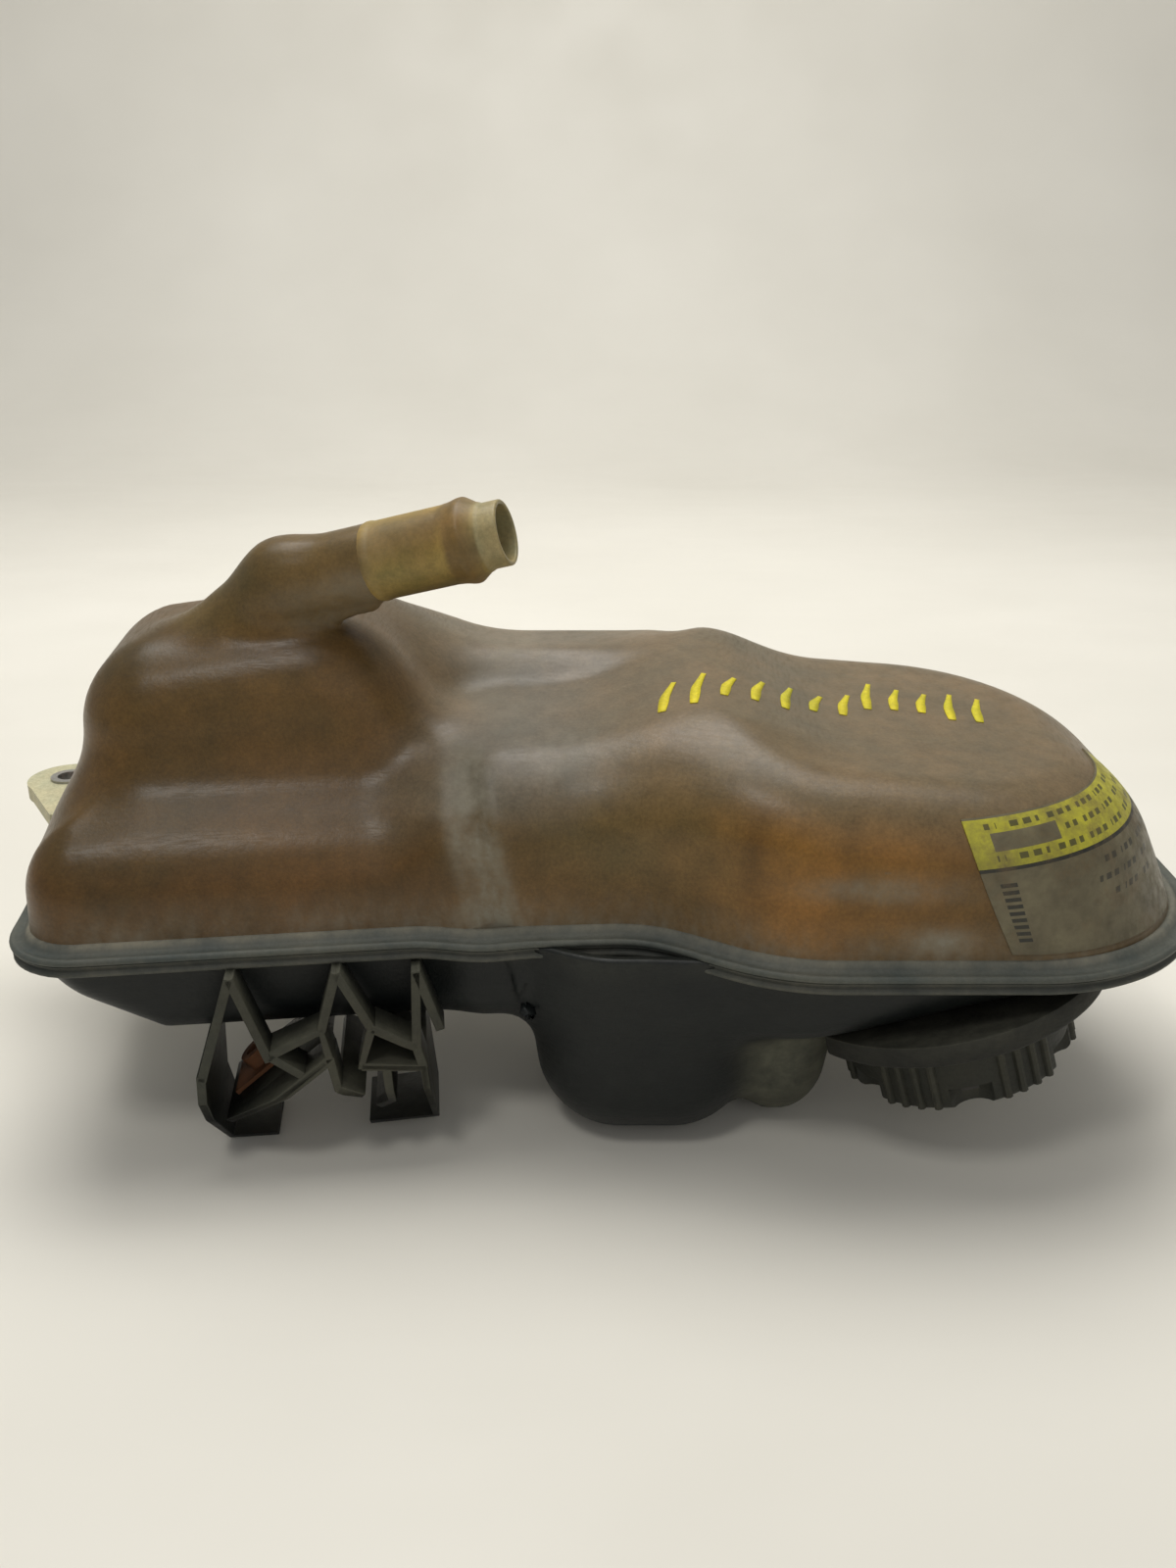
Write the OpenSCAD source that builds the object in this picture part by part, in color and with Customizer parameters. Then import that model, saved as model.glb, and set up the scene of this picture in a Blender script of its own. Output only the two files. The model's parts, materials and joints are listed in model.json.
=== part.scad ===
// Coolant expansion tank, standing upside-down on its domes and bracket.
// Millimetres, +Z up, +Y away from the front, floor at z = 0. In use the tank is turned over.

/* [Tank] */
// Height of the weld plane between the two halves
weld_z = 81; // [78:1:86]
// Wall thickness of both halves
wall = 3; // [2.5:0.1:3.5]
// How far the weld lip stands out
lip_w = 6.5; // [5:0.5:8]
// Depth of the black pan below the weld plane
pan_depth = 35; // [32:1:38]
// Height of the tower top above the weld plane
tower_h = 94; // [88:1:98]
// Height of the right body above the weld plane
body_h = 58; // [54:1:60]

/* [Hose spigot] */
// Outer diameter of the spigot
spigot_d = 25.4; // [24:0.2:27]
// Diameter of its bore
spigot_bore_d = 17.6; // [16:0.2:18]
// Diameter of the step at its mouth
collar_d = 20.8; // [20:0.2:22]
// Free length of the full-size tube
spigot_len = 31; // [28:1:35]

/* [Filler neck and cap] */
// Radius of the neck bore
neck_bore_r = 21; // [20.5:0.1:21.5]
// Radius of the neck under its thread
neck_r = 26; // [25.5:0.1:26.5]
// Thread pitch
thread_pitch = 6; // [5:0.5:7]
// Radius of the cap grip without its ribs
grip_r = 38; // [37:0.5:39]
// Height of the cap grip
grip_h = 21; // [20:0.5:22]
// Radius of the collar ring around the neck
collar_r = 54; // [52:0.5:56]

/* [Mountings] */
// Thickness of the side ear
ear_t = 6; // [5:0.5:7]
// Bolt hole in the ear bush
ear_bolt_d = 8.6; // [8.4:0.1:9]
// Wall thickness of the bracket
rib_t = 3; // [2.5:0.5:3.5]
// Threaded hole in the clip nut
nut_hole_d = 5; // [4.8:0.1:5.4]

/* [Hidden] */

// Middle of the overall length and depth, which becomes the origin
middle = [-10.8, 20.1, 0];

// Shell mesh: stations along the spine, stations round each end, rows up the wall
n_side = 24;
n_fan = 18;
n_row = 12;
n_ring = 2 * n_side + 2 * n_fan;
spine_a = [-115, 20];
spine_b = [130, 18];
reach = 215;

// A lobe is [centre x, centre y, half length, half depth, corner radius, turn, top height above
// or below the weld plane, top slope in x, top slope in y, edge radius, draft, end lean]
left_block = [-107, 20, 80, 66, 18, 6.7, 41, 0, 0, 24, 0.05, 0];
tower = [-103, 28, 71, 48, 28, 6.7, tower_h + 1, 0.12, 0, 26, 0.05, 0];
right_body = [108, 14, 92, 77, 62, 0, body_h, -0.08, 0.04, 22, 0.06, -0.20];
mid_body = [5, 20, 58, 59, 20, 3, body_h + 6, 0.08, 0.16, 24, 0.06, 0];
back_bulge = [-14, 58, 56, 28, 22, 0, body_h + 15, 0, 0, 16, 0.05, 0];
front_dome = [20, -6, 45, 49, 36, 0, weld_z, 0, 0, 25, 0.13, 0];
second_dome = [66, 6, 26, 50, 24, 0, weld_z, 0, 0, 22, 0.15, 0];

// Hose tube: a half-round ridge on the tower that becomes the free spigot
tube_at = [-66, 0, weld_z + 115];
tube_turn = atan2(-8, 38.9);
tube_rise = asin(10.3 / norm([38.9, 8, 10.3]));
tube_dir = [cos(tube_rise) * cos(tube_turn), cos(tube_rise) * sin(tube_turn), sin(tube_rise)];
ridge_len = 34;
ridge_fall = [-26, 5, -21];
drop_r = 8;
drop_back = 36;

// Cap axis: the centre of the collar's lower rim, and the lean of the axis
cap_at = [123.8, -18, weld_z - 29.5];
cap_lean_x = -4.5;
cap_lean_y = -16;
cap_out = [-cos(cap_lean_x) * sin(cap_lean_y), sin(cap_lean_x), -cos(cap_lean_x) * cos(cap_lean_y)];
seat_gap = 8.6;

function smin(a, b, k) = let (h = max(k - abs(a - b), 0) / k) min(a, b) - h * h * k / 4;
function smax(a, b, k) = -smin(-a, -b, k);

// Distance to a rounded rectangle turned about its centre
function rect_d(x, y, hx, hy, rp, turn) =
    let (u = abs(x * cos(turn) + y * sin(turn)) - hx + rp, v = abs(y * cos(turn) - x * sin(turn)) - hy + rp)
    norm([max(u, 0), max(v, 0)]) + min(max(u, v), 0) - rp;

// Rounds the edge between a wall and a top
function edge_d(a, b, r) = min(max(a + r, b + r), 0) + norm([max(a + r, 0), max(b + r, 0)]) - r;

// Distance to a lobe at height t above (side 1) or below (side -1) the weld plane
function lobe_d(l, x, y, t) =
    edge_d(
        rect_d(x - l[0] - l[11] * t, y - l[1], l[2] - abs(l[11]) * t, l[3], l[4], l[5]) + l[10] * t,
        t - l[6] - l[7] * (x - l[0]) - l[8] * (y - l[1]),
        l[9]);

// The tower's right flank falls away in a plane
function flank_d(x, t) = (x + 75) * 0.829 + (t - tower_h - 5) * 0.56;

// Blends widen with height t above the weld, so the outline at the weld stays as it is
function spread(t) = min(max((t - 12) / 28, 0), 1);

function natural_d(p) =
    let (
        t = p[2] - weld_z,
        block = lobe_d(left_block, p[0], p[1], t),
        top = smax(lobe_d(tower, p[0], p[1], t), flank_d(p[0], t), 24),
        main = smin(lobe_d(right_body, p[0], p[1], t), lobe_d(mid_body, p[0], p[1], t), 18 + 14 * spread(t)),
        body = smin(main, lobe_d(back_bulge, p[0], p[1], t), 6))
    smin(smin(block, top, 22), body, 14 + 16 * spread(t));

function plan_d(p) = natural_d([p[0], p[1], weld_z]);

// Depth of the pan: flat at the front, rising at the left end and square to the cap at the right
function pan_bottom(x, y) =
    let (
        seat = (cap_at - seat_gap * cap_out),
        rise = (cap_out[0] * (x - seat[0]) + cap_out[1] * (y - seat[1])) / -cap_out[2])
    smax(weld_z - pan_depth + 0.6 * max(-140 - x, 0), seat[2] + rise, 8);

function black_d(p) =
    let (
        t = weld_z - p[2],
        pan = edge_d(plan_d(p) + 0.12 * t, pan_bottom(p[0], p[1]) - p[2], 14))
    smin(smin(pan, lobe_d(front_dome, p[0], p[1], t), 14), lobe_d(second_dome, p[0], p[1], t), 10);

function skin_d(side, p) = side > 0 ? natural_d(p) : black_d(p);

// Walks in along a ray from outside until the skin's distance is the wanted level
function walk(side, o, d, level, r, n) =
    let (f = skin_d(side, o + r * d) - level)
    n == 0 || abs(f) < 0.02 ? r : walk(side, o, d, level, r - 0.85 * f, n - 1);

// Place and direction of station i: along the front, round the right end, back, round the left end
function station(i) =
    i < n_side ? [spine_a + (spine_b - spine_a) * i / n_side, -90] :
    i < n_side + n_fan ? [spine_b, -90 + 180 * (i - n_side) / n_fan] :
    i < 2 * n_side + n_fan ? [spine_b + (spine_a - spine_b) * (i - n_side - n_fan) / n_side, 90] :
    [spine_a, 90 + 180 * (i - 2 * n_side - n_fan) / n_fan];

// Column on the top line that station i climbs to
function top_column(i) =
    i < n_side ? i :
    i < n_side + n_fan ? n_side :
    i < 2 * n_side + n_fan ? 2 * n_side + n_fan - i : 0;

function rim_point(side, i, t, level) =
    let (
        s = station(i),
        o = [s[0][0], s[0][1], weld_z],
        d = [cos(s[1]), sin(s[1]), 0])
    o + walk(1, o, d, level, reach, 60) * d + [0, 0, side * t];

function wall_point(side, i, rise, level) =
    let (
        s = station(i),
        o = [s[0][0], s[0][1], weld_z],
        d = [cos(s[1]) * cos(rise), sin(s[1]) * cos(rise), side * sin(rise)])
    o + walk(side, o, d, level, reach, 60) * d;

function rim_row(side, t, level) = [for (i = [0 : n_ring - 1]) rim_point(side, i, t, level)];
function wall_row(side, rise, level) = [for (i = [0 : n_ring - 1]) wall_point(side, i, rise, level)];
function top_line(side, level) =
    [for (k = [0 : n_side])
        wall_point(side, k, 90, level)];

// Triangles of one band between two rows, and of the cap that closes a row on the top line
function band(a, b, flip) =
    [for (i = [0 : n_ring - 1], h = [0, 1])
        let (
            k = (i + 1) % n_ring,
            f = h == 0 ? [a + i, a + k, b + k] : [a + i, b + k, b + i])
        flip ? [f[2], f[1], f[0]] : f];
function closing(a, top, flip) =
    [for (i = [0 : n_ring - 1], h = [0, 1])
        let (
            k = (i + 1) % n_ring,
            u = top + top_column(i),
            v = top + top_column(k),
            f = h == 0 ? [a + i, a + k, v] : [a + i, v, u])
        if (h == 0 || u != v) flip ? [f[2], f[1], f[0]] : f];

rim_rows = 5;
lip_t = 4;
bead_w = 3.2;
bead_t = 6.4;

// One half: weld face, lip, bead, wall rows and top line outside, then the same inside
module half_shell(side) {
    rise = [for (j = [1 : n_row - 1]) 7 + (90 - 7) * (j - 1) / (n_row - 1)];
    outer = concat(
        rim_row(side, 0, -wall),
        rim_row(side, 0, lip_w),
        rim_row(side, lip_t, lip_w),
        rim_row(side, lip_t, bead_w),
        rim_row(side, bead_t, bead_w - 2),
        [for (a = rise) each wall_row(side, a, 0)]);
    inner = [for (a = rise) each wall_row(side, a, -wall)];
    n_outer = rim_rows + n_row - 1;
    n_inner = n_row - 1;
    top_o = (n_outer + n_inner) * n_ring;
    top_i = top_o + n_side + 1;
    out = side > 0;
    faces = concat(
        [for (j = [0 : n_outer - 2]) each band(j * n_ring, (j + 1) * n_ring, out)],
        closing((n_outer - 1) * n_ring, top_o, out),
        band(0, n_outer * n_ring, !out),
        [for (j = [n_outer : n_outer + n_inner - 2]) each band(j * n_ring, (j + 1) * n_ring, !out)],
        closing((n_outer + n_inner - 1) * n_ring, top_i, !out));
    polyhedron(points = concat(outer, inner, top_line(side, 0), top_line(side, -wall)), faces = faces);
}

module placed() {
    translate(-middle) children();
}

module on_tube() {
    translate(tube_at) rotate([0, 90 - tube_rise, tube_turn]) children();
}

module on_cap() {
    translate(cap_at) rotate([cap_lean_x, cap_lean_y, 0]) children();
}

module ring(r_out, r_in, z0, z1) {
    difference() {
        translate([0, 0, z0]) cylinder(r = r_out, h = z1 - z0, $fn = 96);
        translate([0, 0, z0 - 1]) cylinder(r = r_in, h = z1 - z0 + 2, $fn = 96);
    }
}

module torus(r_major, r_minor) {
    rotate_extrude($fn = 96) translate([r_major, 0]) circle(r = r_minor, $fn = 32);
}

// Helical ridge: a trapezoid of root and crest widths swept up the helix
module helix_ridge(r_root, r_crest, w_root, w_crest, pitch, turns, steps) {
    n = ceil(turns * steps);
    pts = [for (k = [0 : n], q = [[r_root, -w_root], [r_crest, -w_crest], [r_crest, w_crest], [r_root, w_root]])
        let (a = 360 * k / steps)
        [q[0] * cos(a), q[0] * sin(a), q[1] / 2 + pitch * a / 360]];
    out = r_crest > r_root;
    sides = [for (k = [0 : n - 1], m = [0 : 3], h = [0, 1])
        let (
            a = 4 * k + m,
            b = 4 * k + (m + 1) % 4,
            f = h == 0 ? [a, b, b + 4] : [a, b + 4, a + 4])
        out ? f : [f[2], f[1], f[0]]];
    ends = [[3, 2, 1, 0], [4 * n, 4 * n + 1, 4 * n + 2, 4 * n + 3]];
    polyhedron(points = pts, faces = concat(sides, out ? ends : [for (e = ends) [e[3], e[2], e[1], e[0]]]));
}

// Coil spring: a wire swept up a helix with two closed end turns
module coil(r, wire, length, turns, steps) {
    n = turns * steps;
    lift = length - 2 * wire;
    pts = [for (k = [0 : n], m = [0 : 5])
        let (
            a = 360 * k / steps,
            s = min(max((k / steps - 0.75) / (turns - 1.5), 0), 1),
            b = 60 * m)
        [(r + wire / 2 * cos(b)) * cos(a), (r + wire / 2 * cos(b)) * sin(a),
            wire + lift * s + wire * 0.5 * ((k / steps) / turns - 0.5) + wire / 2 * sin(b)]];
    sides = [for (k = [0 : n - 1], m = [0 : 5], h = [0, 1])
        let (
            a = 6 * k + m,
            b = 6 * k + (m + 1) % 6)
        h == 0 ? [a, b, b + 6] : [a, b + 6, a + 6]];
    polyhedron(points = pts, faces = concat(sides, [[5, 4, 3, 2, 1, 0]], [[for (m = [0 : 5]) 6 * n + m]]));
}

// Drilling that turns the hose tube's bore down into the tower
module tube_drop() {
    p = tube_at - drop_back * tube_dir;
    translate([p[0], p[1], p[2] - 50]) cylinder(r = drop_r, h = 50, $fn = 64);
}

module natural_shell() {
    color([0.62, 0.36, 0.13])
    placed()
    difference() {
        half_shell(1);
        tube_drop();
    }
}

module black_shell() {
    color([0.13, 0.14, 0.15])
    placed()
    difference() {
        half_shell(-1);
        on_cap() cylinder(r = neck_r, h = 40, $fn = 96);
        for (n = nipples)
            translate(n[0]) rotate([-90, 0, 0]) cylinder(r = n[1], h = 40, $fn = 64);
    }
}

// Ear at the left back corner, with a round eye for its bush
ear_at = [-212, 86];
ear_bush_d = 14;
ear_eye_r = 16;
module side_ear() {
    color([0.80, 0.82, 0.70])
    placed()
    translate([0, 0, weld_z])
    difference() {
        union() {
            linear_extrude(ear_t) polygon([[-180, 44], [-206, 48], [-224, 76], [-212, 101], [-184, 92]]);
            translate([ear_at[0], ear_at[1], 0]) cylinder(r = ear_eye_r, h = ear_t, $fn = 96);
        }
        translate([ear_at[0], ear_at[1], -1]) cylinder(d = ear_bush_d, h = ear_t + 2, $fn = 64);
    }
}

module ear_bush() {
    color([0.62, 0.62, 0.60])
    placed()
    translate([ear_at[0], ear_at[1], weld_z - 1])
    ring(ear_bush_d / 2, ear_bolt_d / 2, 0, ear_t + 2);
}

// Tube with a cone barb and a step at the mouth; its closed back end lies along the tower
barb_rise = 0.9;
web_t = 3;
module ridge_leg(r) {
    fall = norm(ridge_fall);
    translate(tube_at - ridge_len * tube_dir)
    rotate([0, acos(ridge_fall[2] / fall), atan2(ridge_fall[1], ridge_fall[0])]) {
        cylinder(r = r, h = fall, $fn = 96);
        translate([0, 0, fall]) sphere(r = r, $fn = 64);
    }
}

module hose_spigot() {
    r = spigot_d / 2;
    color([0.72, 0.58, 0.28])
    placed()
    difference() {
        union() {
            ridge_leg(r);
            on_tube() {
                translate([0, 0, -ridge_len]) sphere(r = r, $fn = 64);
                translate([4, -web_t / 2, -ridge_len]) cube([16, web_t, ridge_len - 4]);
                translate([0, 0, -ridge_len]) cylinder(r = r, h = ridge_len + spigot_len - 4, $fn = 96);
                translate([0, 0, spigot_len - 4]) cylinder(r1 = r, r2 = r + barb_rise, h = 3, $fn = 96);
                translate([0, 0, spigot_len - 1]) cylinder(r = r + barb_rise, h = 1.5, $fn = 96);
                translate([0, 0, spigot_len + 0.5])
                cylinder(r1 = r + barb_rise, r2 = collar_d / 2, h = 3.5, $fn = 96);
                translate([0, 0, spigot_len + 4]) cylinder(d = collar_d, h = 8, $fn = 96);
            }
        }
        ridge_leg(spigot_bore_d / 2);
        on_tube() translate([0, 0, -drop_back]) cylinder(d = spigot_bore_d, h = spigot_len + 60, $fn = 96);
        tube_drop();
    }
}

// Inner walls that stop the coolant surging, each [place, front, depth], with a flow slot
baffle_walls = [[54, -53, 130], [89, -61, 141]];
baffle_t = 2;
module baffles() {
    color([0.45, 0.27, 0.12])
    placed()
    for (w = baffle_walls)
        difference() {
            translate([w[0], w[1], weld_z]) cube([baffle_t, w[2], 34]);
            translate([w[0] - 1, -14, weld_z - 1]) cube([baffle_t + 2, 40, 14]);
        }
}

// Label wrapped round the right front corner, a sheet just off the skin
label_rows = 8;
label_columns = 18;
label_gap = 0.25;
label_t = 0.35;
module fill_label() {
    columns = [for (i = [0 : label_columns]) -98 + 86 * i / label_columns];
    points = [for (level = [label_gap, label_gap + label_t], a = columns, j = [0 : label_rows])
        let (
            rise = 8 + 30 * j / label_rows,
            o = [spine_b[0], spine_b[1], weld_z],
            d = [cos(a) * cos(rise), sin(a) * cos(rise), sin(rise)])
        o + walk(1, o, d, level, reach, 60) * d];
    n = label_rows + 1;
    under = n * (label_columns + 1);
    quads = concat(
        [for (i = [0 : label_columns - 1], j = [0 : label_rows - 1])
            [i * n + j, i * n + j + 1, (i + 1) * n + j + 1, (i + 1) * n + j]],
        [for (i = [0 : label_columns - 1], j = [0 : label_rows - 1])
            [under + (i + 1) * n + j, under + (i + 1) * n + j + 1, under + i * n + j + 1, under + i * n + j]],
        [for (i = [0 : label_columns - 1])
            [i * n, (i + 1) * n, under + (i + 1) * n, under + i * n]],
        [for (i = [0 : label_columns - 1])
            [under + i * n + n - 1, under + (i + 1) * n + n - 1, (i + 1) * n + n - 1, i * n + n - 1]],
        [for (j = [0 : label_rows - 1])
            [under + j, under + j + 1, j + 1, j]],
        [for (j = [0 : label_rows - 1])
            let (e = label_columns * n)
            [e + j, e + j + 1, under + e + j + 1, under + e + j]]);
    tris = [for (q = quads, h = [0, 1]) h == 0 ? [q[0], q[1], q[2]] : [q[0], q[2], q[3]]];
    color([0.55, 0.50, 0.40])
    placed()
    polyhedron(points = points, faces = tris);
}

// Flat strip of one thickness between two points of the bracket's front view, square at its ends
module strip(a, b, t) {
    d = b - a;
    translate(a) rotate(atan2(d[1], d[0])) translate([-t / 2, -t / 2]) square([norm(d) + t, t]);
}

module path(points, t) {
    for (k = [0 : len(points) - 2])
        strip(points[k], points[k + 1], t);
}

// Front view of the bracket, x along the front and height above the floor
module bracket_upper() {
    path([[-119, 77], [-131, 40]], rib_t);
    path([[-119, 77], [-109, 46]], rib_t);
    path([[-86, 77], [-92, 56]], rib_t);
    path([[-86, 77], [-76, 56]], rib_t);
    path([[-61, 76], [-54, 54]], rib_t);
    path([[-61, 76], [-62, 48]], rib_t);
}
module bracket_lower() {
    path([[-131, 42], [-132, 18], [-128, rib_t / 2], [-112, rib_t / 2]], rib_t);
    path([[-109, 48], [-92, 56], [-90, 46], [-126, 16]], rib_t);
    path([[-109, 48], [-99, 40]], rib_t);
    path([[-90, 46], [-88, 34], [-80, 30]], rib_t);
    path([[-76, 56], [-66, 50], [-62, 48]], rib_t);
    path([[-76, 56], [-80, 42], [-60, 40], [-57, 8], [-80, 6]], rib_t);
    path([[-62, 48], [-60, 40]], rib_t);
    path([[-72, 40], [-71, 24], [-76, 20]], rib_t - 0.6);
}
bracket_turn = 6.7;
bracket_front = -57;
module front_bracket() {
    color([0.15, 0.16, 0.16])
    placed()
    translate([-95, 0, 0])
    rotate([0, 0, bracket_turn])
    translate([95, 0, 0])
    difference() {
        union() {
            translate([0, bracket_front + 10.5, 0]) rotate([90, 0, 0]) linear_extrude(10.5) bracket_upper();
            translate([0, bracket_front + 46, 0])
            rotate([90, 0, 0])
            linear_extrude(46)
            intersection() {
                bracket_lower();
                translate([-140, 0]) square([100, weld_z - pan_depth + 1]);
            }
            translate([0, bracket_front + 12.5, 0]) rotate([90, 0, 0]) linear_extrude(12.5) bracket_lower();
        }
        translate([-150, bracket_front, -1])
        rotate([90, 0, 90])
        linear_extrude(110)
        polygon([[-5, -1], [26, -1], [-5, 38]]);
        translate([-114, bracket_front + 31, 26]) rotate([0, -39.8, 0]) cylinder(d = 8, h = 30, center = true, $fn = 48);
    }
}

// Folded steel clip over the ramp of the bracket with its nut barrel
module clip_nut() {
    color([0.55, 0.32, 0.18])
    placed()
    translate([-95, 0, 0])
    rotate([0, 0, bracket_turn])
    translate([95, 0, 0])
    translate([-114, bracket_front + 31, 26])
    rotate([0, -39.8, 0])
    difference() {
        union() {
            translate([-10, -9, 1.6]) cube([20, 18, 1.4]);
            translate([-10, -9, -3]) cube([20, 18, 1.4]);
            translate([-11.4, -9, -3]) cube([1.4, 18, 6]);
            translate([0, 0, 3]) cylinder(r = 5, h = 5, $fn = 48);
        }
        translate([0, 0, -4]) cylinder(d = nut_hole_d, h = 14, $fn = 48);
    }
}

// Vent nipples: barbed tubes out of the back wall, each [start, bore radius, radius, length]
nipples = [[[-40, 74, weld_z - 18], 4, 6, 34], [[40, 78, weld_z - 16], 2.6, 4.5, 34]];
module nipple(n) {
    translate(n[0])
    rotate([-90, 0, 0])
    difference() {
        union() {
            cylinder(r = n[2], h = n[3], $fn = 64);
            translate([0, 0, 6]) cylinder(r = n[2] + 3, h = 5, $fn = 64);
            translate([0, 0, n[3] - 7]) cylinder(r1 = n[2] + 0.9, r2 = n[2] - 0.6, h = 5, $fn = 64);
        }
        translate([0, 0, -1]) cylinder(r = n[1], h = n[3] + 2, $fn = 64);
    }
}

module vent_nipple_large() {
    color([0.14, 0.15, 0.16])
    placed()
    nipple(nipples[0]);
}

module vent_nipple_small() {
    color([0.14, 0.15, 0.16])
    placed()
    nipple(nipples[1]);
}

// Neck: bore for the cap's plug, thread outside, flange against the pan
neck_top = 26;
neck_end = -17;
neck_bead_r = neck_r + 3.5;
thread_z = neck_end + 3;
module filler_neck() {
    color([0.13, 0.14, 0.15])
    placed()
    on_cap() {
        ring(neck_r, neck_bore_r, neck_end, neck_top);
        ring(neck_bead_r, neck_r, seat_gap - 3, seat_gap - 0.6);
        translate([0, 0, thread_z])
        helix_ridge(neck_r - 0.5, neck_r + 2, 2.6, 1.4, thread_pitch, 1.25, 32);
    }
}

// Collar: dished ring round the neck with ribs, cut away where the second dome passes
module neck_collar() {
    color([0.33, 0.34, 0.34])
    placed()
    difference() {
        on_cap()
        difference() {
            union() {
                ring(collar_r, collar_r - 2.6, 0, seat_gap - 0.6);
                ring(collar_r, neck_bead_r, seat_gap - 3, seat_gap - 0.6);
                ring(neck_bead_r + 2.6, neck_bead_r, 2, seat_gap - 0.6);
                for (a = [0 : 20 : 340])
                    rotate(a) translate([neck_r + 7, -1, 2.5]) cube([collar_r - neck_r - 9, 2, 4]);
            }
            for (a = [-102, -94])
                rotate(a) translate([collar_r - 5, -2.5, 1.2]) cube([10, 5, 2.2]);
        }
        translate([20, -47, 0]) cube([74, 120, weld_z]);
    }
}

// Grip: cup with rib groups between smooth panels, and thumb notches in the rim
grip_top = -5;
grip_groups = 6;
module cap_grip() {
    low = grip_top - grip_h;
    color([0.17, 0.18, 0.18])
    placed()
    on_cap()
    difference() {
        union() {
            translate([0, 0, low]) cylinder(r = grip_r, h = grip_h, $fn = 120);
            translate([0, 0, grip_top - 3]) cylinder(r = grip_r + 1.5, h = 3, $fn = 120);
            for (g = [0 : grip_groups - 1], k = [-1.5 : 1 : 1.5])
                rotate(360 / grip_groups * (g + 0.5) + k * 8.5 + 24)
                translate([grip_r - 1, -1.3, low + 0.8])
                cube([2.6, 2.6, grip_h - 2]);
        }
        translate([0, 0, low + 4]) cylinder(r = 33.2, h = grip_h, $fn = 120);
        translate([0, 0, low - 1]) cylinder(r = 24, h = 3, $fn = 96);
        for (g = [0 : grip_groups - 1])
            rotate(360 / grip_groups * g + 24)
            translate([grip_r + 2, 0, low - 1])
            cylinder(r = 7.5, h = 9, $fn = 48);
    }
}

module cap_insert() {
    low = grip_top - grip_h + 4;
    color([0.20, 0.20, 0.21])
    placed()
    on_cap() {
        ring(33.2, neck_r + 2.7, low + 1.5, grip_top - 0.5);
        ring(33.2, 21.5, low, low + 1.5);
        translate([0, 0, thread_z + thread_pitch / 2])
        helix_ridge(neck_r + 3, neck_r + 0.8, 2.4, 1.2, thread_pitch, 0.75, 32);
    }
}

module cap_disc() {
    low = grip_top - grip_h;
    color([0.22, 0.22, 0.22])
    placed()
    on_cap()
    difference() {
        translate([0, 0, low + 0.3]) cylinder(r = 23.9, h = 1.7, $fn = 96);
        for (a = [45 : 90 : 315])
            rotate(a) translate([16, 0, low - 1]) cylinder(r = 2.5, h = 2, $fn = 32);
    }
}

module cap_gasket() {
    color([0.08, 0.08, 0.08])
    placed()
    on_cap()
    ring(neck_r - 0.2, neck_bore_r + 0.5, neck_end - 3.4, neck_end - 0.3);
}

// Plug that enters the neck: closed by the cap, open at the tank end round the valve seat
housing_r = 20.2;
housing_in = 15.5;
housing_low = grip_top - grip_h + 4.3;
seat_z = 8;
seal_z = -3;
module valve_housing() {
    low = housing_low;
    color([0.24, 0.24, 0.25])
    placed()
    on_cap()
    difference() {
        union() {
            ring(housing_r, housing_in, low, seat_z);
            ring(housing_r, 11.5, seat_z - 2, seat_z);
            translate([0, 0, low]) cylinder(r = housing_r, h = 2.5, $fn = 96);
        }
        translate([0, 0, seal_z]) rotate_extrude($fn = 96) translate([17.05, -2]) square([5, 4]);
        for (a = [0 : 90 : 270])
            rotate(a) translate([housing_in - 2, -2.5, low + 5]) cube([8, 5, 3]);
    }
}

module neck_seal() {
    color([0.06, 0.06, 0.06])
    placed()
    on_cap() translate([0, 0, seal_z]) torus(19, 1.93);
}

module spring_retainer() {
    low = housing_low + 2.5;
    color([0.66, 0.66, 0.64])
    placed()
    on_cap() {
        ring(15.3, 5, low, low + 1.2);
        ring(10.3, 8.9, low + 1.2, low + 4);
    }
}

// Valve plate held on its seat by the spring, with the vacuum valve in its middle
plate_z = seat_z - 2.1;
plate_low = plate_z - 4;
stem_r = 1.6;
spring_low = housing_low + 3.7;
module pressure_spring() {
    color([0.70, 0.70, 0.68])
    placed()
    on_cap() translate([0, 0, spring_low]) coil(12.4, 1.6, plate_low - spring_low, 5, 20);
}

module pressure_valve() {
    color([0.68, 0.66, 0.55])
    placed()
    on_cap()
    difference() {
        union() {
            ring(14.6, stem_r + 0.06, plate_low, plate_z - 2.2);
            ring(10.4, 8.8, plate_low - 4, plate_low);
        }
        for (a = [45 : 90 : 315])
            rotate(a) translate([4.3, 0, plate_low - 1]) cylinder(r = 1, h = 4, $fn = 32);
    }
}

module pressure_seal() {
    color([0.07, 0.07, 0.07])
    placed()
    on_cap() ring(14.2, 8, plate_z - 2.2, plate_z);
}

module vacuum_valve() {
    color([0.66, 0.62, 0.48])
    placed()
    on_cap() {
        translate([0, 0, plate_z - 2.1]) cylinder(r = 6.2, h = 1.6, $fn = 64);
        translate([0, 0, plate_low - 7.5]) cylinder(r = stem_r, h = 9.6, $fn = 48);
    }
}

module vacuum_spring() {
    color([0.72, 0.72, 0.70])
    placed()
    on_cap() translate([0, 0, plate_low - 5.6]) coil(2.9, 0.6, 5.6, 5, 16);
}

module vacuum_clip() {
    color([0.60, 0.60, 0.58])
    placed()
    on_cap() ring(4, stem_r, plate_low - 6.8, plate_low - 5.8);
}

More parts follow.
